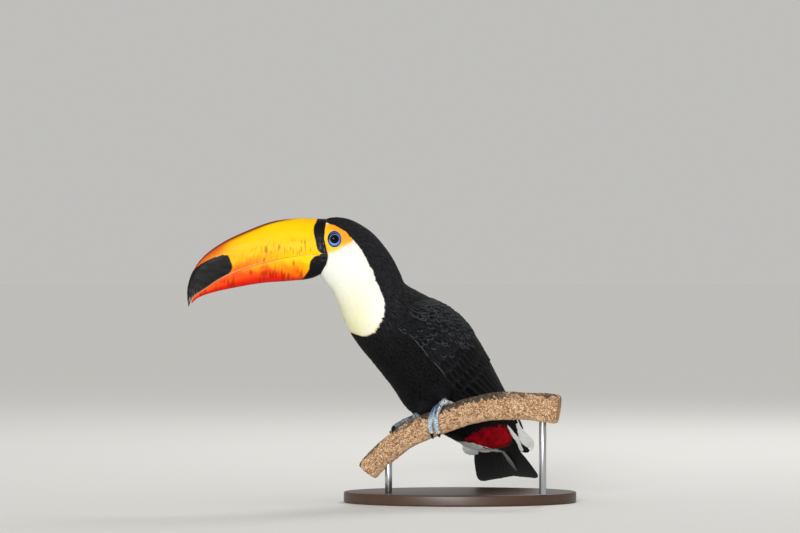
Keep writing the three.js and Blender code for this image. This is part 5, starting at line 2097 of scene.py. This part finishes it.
@dataclass
class Feet:
    """Legs, toes and claws."""

    perch: Perch
    radius: float = 3.5
    tip_radius: float = 2.7
    turn: float = 48.0
    sides: int = 40

    hubs = {Side.LEFT: (-13.0, 88.0), Side.RIGHT: (-52.0, 62.0)}
    inwards = {Side.LEFT: (-0.16, 0.8, 0.57), Side.RIGHT: (0.54, 0.45, 0.7)}
    toes = {
        Side.LEFT: {
            "inner_front": (-30.0, 222.0),
            "outer_front": (-37.0, 212.0),
            "outer_back": (-4.0, -28.0),
            "inner_back": (-14.0, -10.0),
        },
        Side.RIGHT: {
            "inner_front": (-74.0, 88.0),
            "outer_front": (-80.0, 58.0),
            "outer_back": (-42.0, -22.0),
            "inner_back": (-33.0, 8.0),
        },
    }

    def bar(self, path: Array, radii: Array, up: Array, squash: float = 1.0) -> Shell:
        """A round bar along a path.

        Args:
            path: its middle line.
            radii: radius at each point, and round each ring if given in two axes.
            up: outward direction at each point.
            squash: its height as a share of its width.

        Returns:
            The bar.
        """
        run = unit(np.gradient(path, axis=0))
        up = unit(up - run * (up * run).sum(1, keepdims=True))
        across = np.cross(run, up)
        turn = once_round(self.sides)[None, :, None]
        radii = radii[:, None, None] if radii.ndim == 1 else radii[..., None]
        rings = path[:, None] + radii * (up[:, None] * np.cos(turn) * squash + across[:, None] * np.sin(turn))
        return loft(rings)

    def wrap(
        self, start: Pair, end: Pair, count: int, height: Callable[[Array], Array]
    ) -> tuple[Array, Array]:
        """A path round the branch from one place to another.

        Args:
            start: X and angle of its first place.
            end: X and angle of its last.
            count: number of points.
            height: distance over the bark, for shares of the way.

        Returns:
            The path, and the direction outwards at each point.
        """
        t = np.linspace(0, 1, count)
        x = mix(start[0], end[0], np.sin(t * np.pi / 2))
        share = self.perch.share(x)
        angle = mix(start[1], end[1], t)
        path = self.perch.point(share, angle, height(t))
        return path, path - self.perch.line.at(share)

    def scales(self, length: float, rows: int, seed: int, shade: float = 0.0) -> tuple[Array, Array]:
        """Relief and colour of scaled skin round a bar: broad scutes above, small scales at the sides.

        Args:
            length: of the bar.
            rows: points along it.
            seed: chooses the pattern.
            shade: how far its colour is darkened towards slate; on the right foot this is painted shade.

        Returns:
            Relief as a share of the radius, and colours.
        """
        t = np.linspace(0, 1, rows)[:, None]
        turn = once_round(self.sides)[None, :]
        above = step(0.66, 0.92, np.cos(turn)) * step(0.1, 0.2, t) * step(0.98, 0.86, t)
        saw = np.mod(t * length / 3.1 + 0.1 * np.cos(turn * 2), 1.0)
        scute = step(0.0, 0.12, saw) * step(1.0, 0.88, saw)
        edge, tone = cells(t * length / 2.2, turn / (2 * np.pi) * 10, 10, seed)
        scale = step(0.06, 0.34, edge)
        relief = mix(0.1 * scale, 0.09 * scute * mix(0.7, 1.0, scale), above) - 0.04
        pale = tint("#9DB4BE", "#FFFFFF", tone**0.6)
        blue = tint("#2C6E92", "#B9DDF0", step(0.42, 0.62, t))
        blue = tint(blue, "#1D4A66", 0.6 * (tone * step(0.7, 0.4, t)))
        colour = tint(pale, blue, 0.9 * above)
        lines = np.minimum(mix(scale, 1.0, 0.2 * above), mix(1.0, scute, 0.8 * above))
        colour = tint("#0E171D", colour, lines)
        under = step(-0.2, -0.8, np.cos(turn))
        colour = tint(colour, tint("#6B7F89", "#B4BEC2", scale), 0.8 * under)
        return relief, mix(colour, colour * rgb("#5E7078"), shade)

    def toe(self, hub: Pair, tip: Pair, shade: float) -> Shell:
        """One toe: ringed by scutes above and padded below.

        Args:
            hub: X and angle of its root.
            tip: X and angle of its end.
            shade: how far it is darkened towards slate, as painted shade.

        Returns:
            The toe.
        """
        count = 150
        t = np.linspace(0, 1, count)
        base = mix(self.radius, self.tip_radius, t) * (1 + 0.05 * np.cos(t * 6 * np.pi))
        path, up = self.wrap(hub, tip, count, lambda t: mix(self.radius, self.tip_radius, t) + 0.45)
        length = float(np.linalg.norm(np.diff(path, axis=0), axis=1).sum())
        relief, colour = self.scales(length, count, int(abs(tip[0]) * 7), shade)
        turn = once_round(self.sides)[None, :]
        pad = 0.08 * np.cos(t[:, None] * 6 * np.pi) * step(0.2, -0.6, np.cos(turn))
        close = np.sqrt(np.clip(1 - ((t - 0.965) / 0.035).clip(0) ** 2, 0.08, 1))[:, None]
        return self.bar(path, base[:, None] * (1 + relief + pad) * close, up).dyed(colour, colour[[0, -1], 0])

    def foot(self, side: Side) -> Shell:
        """The shank and its four toes.

        Args:
            side: which foot.

        Returns:
            The foot.
        """
        # The right foot is painted darker towards slate: painted shade, where it sits behind the branch.
        shade = 0.0 if side is Side.LEFT else 0.75
        toes = [self.toe(self.hubs[side], tip, shade) for tip in self.toes[side].values()]
        middle, inwards = self.ankle(side)
        t = np.linspace(0, 1, 80)
        path = middle + inwards * mix(20.0, -0.5, t)[:, None]
        relief, colour = self.scales(20.5, 80, 9, max(shade, 0.5))
        shank = self.bar(path, mix(3.3, 4.0, t)[:, None] * (1 + relief), np.tile([0.0, -1.0, 0.4], (80, 1)))
        return join([*toes, shank.dyed(colour, colour[[0, -1], 0])])

    def ankle(self, side: Side) -> tuple[Array, Array]:
        """Where the leg meets the foot, and which way it goes.

        Args:
            side: which leg.

        Returns:
            The middle of the foot, and a direction one long towards the body.
        """
        x, angle = (np.array(value) for value in self.hubs[side])
        inwards = np.array(self.inwards[side])
        middle = self.perch.point(self.perch.share(x), angle, np.array(self.radius + 0.3))
        return middle, inwards / np.linalg.norm(inwards)

    def thigh(self, side: Side) -> Thigh:
        """The thigh over this foot."""
        return Thigh(*self.ankle(side))

    def claw(self, side: Side, toe: str) -> Shell:
        """A smooth horn claw that curves in to the bark.

        Args:
            side: which foot.
            toe: which toe.

        Returns:
            The claw.
        """
        hub, tip = self.hubs[side], self.toes[side][toe]
        onward = math.copysign(1, tip[1] - hub[1])
        end = (tip[0] + (tip[0] - hub[0]) * 0.12, tip[1] + onward * self.turn)
        start = (tip[0], tip[1] - onward * 6)
        path, up = self.wrap(start, end, 48, lambda t: mix(self.tip_radius + 0.35, 0.55, t) + 0.3)
        t = np.linspace(0, 1, 48)
        shell = self.bar(path, mix(2.35, 0.35, t**1.4), up, 1.15)
        colour = mix(rgb("#1A1A1C"), rgb("#3A3632"), step(0.7, 1.0, t)[:, None])
        return shell.dyed(np.repeat(colour, self.sides, axis=0), np.tile(rgb("#1A1A1C"), (2, 1)))


@dataclass
class Thigh:
    """The feathered upper leg, from inside the belly down to the ankle.

    Attributes:
        hub: middle of the foot.
        inwards: direction of the leg towards the body.
    """

    hub: Array
    inwards: Array
    places: tuple[float, ...] = (3.4, 4.6, 10.95, 17.3, 23.65, 30.0, 46.0)
    radii: tuple[float, ...] = (4.8, 7.0, 11.2, 14.6, 17.0, 17.0, 14.0)

    def point(self, along: Array, angle: Array, height: Array) -> Array:
        """Places on the thigh: distance from the hub, degrees round it, and height over it.

        Args:
            along: distance from the hub.
            angle: degrees round it.
            height: distance over it.

        Returns:
            Places with x, y, z in a new last axis.
        """
        along, angle, height = np.broadcast_arrays(along, angle, height)
        one = unit(np.cross(self.inwards, [0.0, 0.0, 1.0]))
        two = np.cross(self.inwards, one)
        radius = (np.interp(along, self.places, self.radii) + height)[..., None]
        turn = np.radians(angle)[..., None]
        return self.hub + along[..., None] * self.inwards + radius * (one * np.cos(turn) + two * np.sin(turn))

    def flesh(self) -> Shell:
        """The thigh's own surface, under its feathers.

        Returns:
            The surface.
        """
        along = np.linspace(4.4, 44.0, 50)[:, None]
        angle = np.linspace(0, 360, 48, endpoint=False)[None, :]
        return loft(self.point(along, angle, -1.9)).dyed("#0E0E10")

    def feathers(self, seed: int) -> Shell:
        """Loose feathers that lie down the leg and close over the ankle.

        Args:
            seed: chooses their places.

        Returns:
            The feathers.
        """
        rng = default_rng(seed)
        rows = np.arange(40.0, 8.0, -1.6)
        along, angle = [], []
        for row in rows:
            girth = 2 * np.pi * np.interp(row, self.places, self.radii)
            count = int(girth / 1.7)
            along.append(row + rng.uniform(-0.8, 0.8, count))
            angle.append((np.arange(count) + rng.uniform(-0.4, 0.4, count) + rng.uniform()) * 360 / count)
        along, angle = concatenate(along), concatenate(angle)
        n = len(along)
        length = np.minimum(rng.uniform(8.5, 11.5, n), along - 2.6)
        girth = 2 * np.pi * np.interp(along, self.places, self.radii) / 360
        stray = rng.normal(0, 0.16, n)
        vanes = Vanes(
            root=pack(along, angle), reach=pack(-length, stray * length / girth),
            side=pack(0, rng.uniform(1.0, 1.4, n) / girth), sunk=np.full(n, 1.6),
            stand=rng.uniform(-0.2, 0.7, n), shape=DOWN,
            colour=rgb("#0E0E10") * rng.uniform(0.6, 1.5, (n, 1)),
            chart=pack(0.7 + along * 0.001, np.mod(angle, 360) / 360), seed=seed + 1,
        )
        return vanes.build(self.point)


# ---- stand and studio ----


@dataclass
class Stand:
    """Oval wooden base and two steel rods of this radius, at their places along X."""

    length: float = 300.0
    width: float = 200.0
    height: float = 14.0
    bevel: float = 2.0
    rod: float = 4.5
    places: dict[str, float] = field(
        default_factory=lambda: {"stand_rod_left": -92.0, "stand_rod_right": 104.0}
    )

    def base(self) -> Shell:
        """The base: an oval plate with rounded edges.

        Returns:
            The base.
        """
        turn, bend = once_round(192), np.linspace(0, np.pi / 2, 7)
        inset = concatenate([self.bevel * (1 - np.sin(bend)), self.bevel * (1 - np.cos(bend))])
        level = concatenate([self.bevel * (1 - np.cos(bend)), self.height - self.bevel * (1 - np.sin(bend))])
        x, y = np.outer(self.length / 2 - inset, np.cos(turn)), np.outer(self.width / 2 - inset, np.sin(turn))
        rings = pack(x, y, level[:, None])
        inner = [0.5, 0.5, 1]
        return loft(concatenate([rings[:1] * inner, rings, rings[-1:] * inner])).dyed("#4A3223")

    def bar(self, perch: Perch, x: float) -> Shell:
        """One rod, from just over the base up into the branch.

        Args:
            perch: the branch.
            x: the rod's place.

        Returns:
            The rod.
        """
        top = perch.line.at(perch.share(np.array(x)))
        turn = once_round(64)
        low, high = self.height + 0.3, float(top[2]) - 8
        level = np.array([low, low + 0.6, high - 0.6, high])
        radius = np.array([self.rod - 0.5, self.rod, self.rod, self.rod - 0.5])
        across, back = x + np.outer(radius, np.cos(turn)), top[1] + np.outer(radius, np.sin(turn))
        return loft(pack(across, back, level[:, None])).dyed("#B9BCC0")


@dataclass
class Studio:
    """Camera, floor, world and soft lights.

    Attributes:
        camera: its place, in metres.
        away: how far the camera stands from the bird, in millimetres.
        view: width of what it sees there, in millimetres.
        sensor: width of its sensor, in millimetres.
        aim: where the lamps point, in metres.
        reach: half the floor's width, in millimetres.
        thickness: of the floor, in millimetres.
    """

    camera: Spot = (-0.0774, -5.080, 0.3041)
    away: float = 5000.0
    view: float = 1016.0
    sensor: float = 36.0
    aim: Spot = (-0.1, -0.02, 0.22)
    reach: float = 60e3
    thickness: float = 40.0

    def build(self) -> None:
        """Sets everything up round the model."""
        scene = bpy.context.scene
        scene.view_settings.view_transform = "Standard"
        data = bpy.data.cameras.new("camera")
        data.sensor_width = self.sensor
        data.lens = self.sensor * self.away / self.view
        data.clip_end = 100.0
        camera = bpy.data.objects.new("camera", data)
        camera.location = self.camera
        camera.rotation_euler = (math.radians(90), 0, 0)
        scene.collection.objects.link(camera)
        scene.camera = camera
        world = bpy.data.worlds.new("studio air")
        world.use_nodes = True
        feed(world.node_tree.nodes["Background"], {"Color": rgba("#F0EFEC"), "Strength": 0.6})
        scene.world = world
        self.sun((-0.45, -1.9, 0.5), 12.0, 1.6)
        self.light("front", (-0.25, -4.6, 0.45), 0.5, 70.0)
        self.light("rim", (0.9, 1.9, 2.3), 1.2, 26.0)
        corners = ((-1, -1), (1, -1), (1, 1), (-1, 1))
        rings = [[(x * self.reach, y * self.reach, z) for x, y in corners] for z in (-self.thickness, 0.0)]
        # Matt plaster: even and pale, with soft shadows only.
        plaster = Finish("painted plaster floor", "#E7E6E3", 0.9, {"Specular IOR Level": 0.1})
        paint = plain(plaster, 30.0, 0.0, 0.0)
        piece("floor", loft(np.array(rings)).dyed("#E7E6E3"), paint, "", ride=False)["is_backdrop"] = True

    def sun(self, place: Spot, spread: float, strength: float) -> None:
        """An even, soft key light.

        Args:
            place: direction that it comes from.
            spread: how wide it looks, in degrees.
            strength: in watts for each square metre.
        """
        data = bpy.data.lights.new("key", "SUN")
        data.energy = strength
        data.angle = math.radians(spread)
        self.hang(data, place, (0.0, 0.0, 0.0))

    def light(self, name: str, place: Spot, size: float, power: float) -> None:
        """One soft round light that shines on the bird.

        Args:
            name: of the light.
            place: where it hangs, in metres.
            size: its diameter.
            power: in watts.
        """
        data = bpy.data.lights.new(name, "AREA")
        data.shape = "DISK"
        data.size = size
        data.energy = power
        self.hang(data, place, self.aim)

    def hang(
        self, data: Light, place: Spot, aim: Spot
    ) -> None:
        """Puts a lamp in the scene.

        Args:
            data: its settings.
            place: where it hangs.
            aim: where it points.
        """
        lamp = bpy.data.objects.new(data.name, data)
        lamp.location = place
        lamp.rotation_euler = (Vector(aim) - Vector(place)).to_track_quat("-Z", "Y").to_euler()
        bpy.context.scene.collection.objects.link(lamp)


# ---- the whole model ----


class Toucan:
    """The whole model."""

    def paints(self) -> dict[str, Material]:
        """Makes every material once.

        Returns:
            The materials by the record's slot; the shoulders and the tail wear their own black.
        """
        # Melanin-dark vanes with loose barbs swallow light; the tight vanes of wing and tail shine faintly.
        velvet = {"Sheen Weight": 0.004, "Sheen Roughness": 0.5, "Specular IOR Level": 0.04}
        satin = {"Sheen Weight": 0.002, "Sheen Roughness": 0.4, "Specular IOR Level": 0.045}
        # Keratin grows in thin clear layers: a waxy shine over the colour.
        gloss = {"Coat Weight": 0.025, "Coat Roughness": 0.22, "Specular IOR Level": 0.07}
        # White barbs hold no pigment, so light goes a little way in and they look soft.
        soft = {"Specular IOR Level": 0.2, "Subsurface Weight": 0.15, "Subsurface Scale": 0.002}
        skin = {"Specular IOR Level": 0.2}
        return {
            # Deep soft black, with faint lines where barbs part and a faint painted highlight on the rims.
            "black_plumage": plumage(Finish("black contour feather", "#0E0E10", 0.65, velvet), 0.05, 0.6),
            # The same, with a stronger painted highlight along the rims, so that each lobe stands out.
            "scapular_plumage": plumage(
                Finish("worn black shoulder feather", "#121315", 0.65, velvet), 0.3, 0.5
            ),
            # Long, zipped vanes: a low satin shine along each feather, and a faint painted highlight on the
            # rims.
            "wing_plumage": plumage(Finish("black flight feather", "#0D0D10", 0.5, satin), 0.06, 0.6),
            "tail_plumage": plumage(Finish("black tail feather", "#0B0B0D", 0.5, satin), 0.03, 0.6),
            # Short dense down: an even cream that hardly shows its barbs.
            "bib_plumage": plumage(Finish("white bib feather", "#FBFAF3", 0.85, soft), 0.0, 0.12),
            "white_plumage": plumage(Finish("white covert feather", "#F1EFE9", 0.85, soft), 0.0, 0.15),
            # Carotenoid red: saturated and matt, dark between the barbs.
            "red_plumage": plumage(Finish("red covert feather", "#A30E1A", 0.75, velvet), 0.0, 0.4),
            # Thin bare skin: pebbled, with a dull wet look.
            "face": bare_skin(Finish("bare facial skin", "#F59A1C", 0.6, skin)),
            # Layered keratin: clouds and growth lines under a waxy shine.
            "bill_upper": horn(Finish("keratin of the upper bill", "#F7C400", 0.5, gloss)),
            "bill_lower": horn(Finish("keratin of the lower bill", "#E8641A", 0.5, gloss)),
            # A wet, clear surface: small sharp highlights on near-black.
            "eye": plain(Finish("wet cornea", "#120A06", 0.08, {"Specular IOR Level": 0.12}), 50.0, 0.0, 0.0),
            # Dry scales with a fine grain of 0.7 mm.
            "toe_skin": plain(
                Finish("scaled toe skin", "#A9CADD", 0.5, {"Specular IOR Level": 0.25}), 1500.0, 0.15, 0.0002
            ),
            # Hard smooth horn, polished by use, with a grain of 1.1 mm.
            "claw_horn": plain(Finish("claw horn", "#1A1A1C", 0.3), 900.0, 0.1, 0.0001),
            # Dry cork: matt and rough, with a grain of 1.4 mm.
            "bark": plain(
                Finish("weathered bark", "#A9764C", 0.9, {"Specular IOR Level": 0.15}), 700.0, 0.45, 0.0008
            ),
            # Oiled wood: dark, even, with a soft shine and broad figure of 17 mm.
            "stand_wood": plain(Finish("oiled walnut", "#4A3223", 0.4), 60.0, 0.5, 0.0001),
            # Brushed metal: blurred bright reflections, with a grain of 3.3 mm.
            "stand_steel": plain(
                Finish("brushed steel", "#B9BCC0", 0.3, {"Metallic": 1.0}), 300.0, 0.05, 0.0
            ),
        }

    def build(self) -> None:
        """Builds every piece."""
        paints = self.paints()
        cover = Plumage()
        flesh = ("head", "neck", "bib", "torso", "rump", "crissum", "thigh_left", "thigh_right")
        perch = Perch()
        feet = Feet(perch)
        thighs = {side: feet.thigh(side) for side in Side}
        inner = tuple(leg.flesh() for leg in thighs.values())
        piece("skin", cover.skin(), paints["face"], "face", flesh, extras=inner)
        cover.coats(paints)
        legs = join([leg.feathers(90 + side.value) for side, leg in thighs.items()])
        piece("coat_thighs", legs, paints["black_plumage"], "black_plumage", sharp=75)
        bill = Bill()
        piece("maxilla_horn", bill.upper(), paints["bill_upper"], "bill_upper", ("maxilla",), sharp=50)
        piece("mandible_horn", bill.lower(), paints["bill_lower"], "bill_lower", ("mandible",), sharp=50)
        eyes = Eyes()
        for side in Side:
            piece(f"eyeball_{side.word}", eyes.ball(side), paints["eye"], "eye", (f"eye_{side.word}",))
            piece(f"eye_ring_{side.word}", eyes.ring(side), paints["face"], "face")
            vanes, wing = Wing().build(side), (f"wing_{side.word}",)
            piece(f"wing_feathers_{side.word}", vanes, paints["wing_plumage"], "wing_plumage", wing)
            toes, foot = feet.foot(side), (f"foot_{side.word}",)
            piece(f"toes_{side.word}", toes, paints["toe_skin"], "toe_skin", foot)
            for toe in feet.toes[side]:
                node = f"claw_{side.word}_{toe}"
                piece(f"{node}_horn", feet.claw(side, toe), paints["claw_horn"], "claw_horn", (node,))
        tail = Tail()
        piece("tail_feathers", tail.quills(), paints["tail_plumage"], "tail_plumage", ("tail",))
        coverts = join([tail.coverts(80), *(bunch.build(60 + 2 * k) for k, bunch in enumerate(bunches()))])
        piece("tail_coverts", coverts, paints["white_plumage"], "white_plumage", sharp=75)
        branch = piece("branch", perch.bark(), paints["bark"], "bark", ("perch",), sharp=60)
        Granules().grow(branch, paints["bark"])
        for side in Side:
            vanes = cover.scapulars(side)
            piece(f"coat_scapular_{side.word}", vanes, paints["scapular_plumage"], "black_plumage", sharp=75)
        stand = Stand()
        piece("oval_base", stand.base(), paints["stand_wood"], "stand_wood", ("stand_base",))
        for node, x in stand.places.items():
            piece(f"{node}_steel", stand.bar(perch, x), paints["stand_steel"], "stand_steel", (node,))


def save_bounds(bounds: object, key: str, record: dict[str, object]) -> None:
    """Args:
        bounds: lowest and highest corner.
        key: what the size belongs to.
        record: where the sizes are kept so far.
    """
    record[key] = [[float(value) for value in corner] for corner in bounds]


def main() -> None:
    """Builds the scene round the frame."""
    logging.basicConfig(level=logging.INFO, format="%(name)s: %(message)s")
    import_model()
    record: dict[str, object] = {}
    save_bounds(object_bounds(), "frame", record)
    Toucan().build()
    Studio().build()
    save_bounds(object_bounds(), "visual", record)


if __name__ == "__main__":
    main()
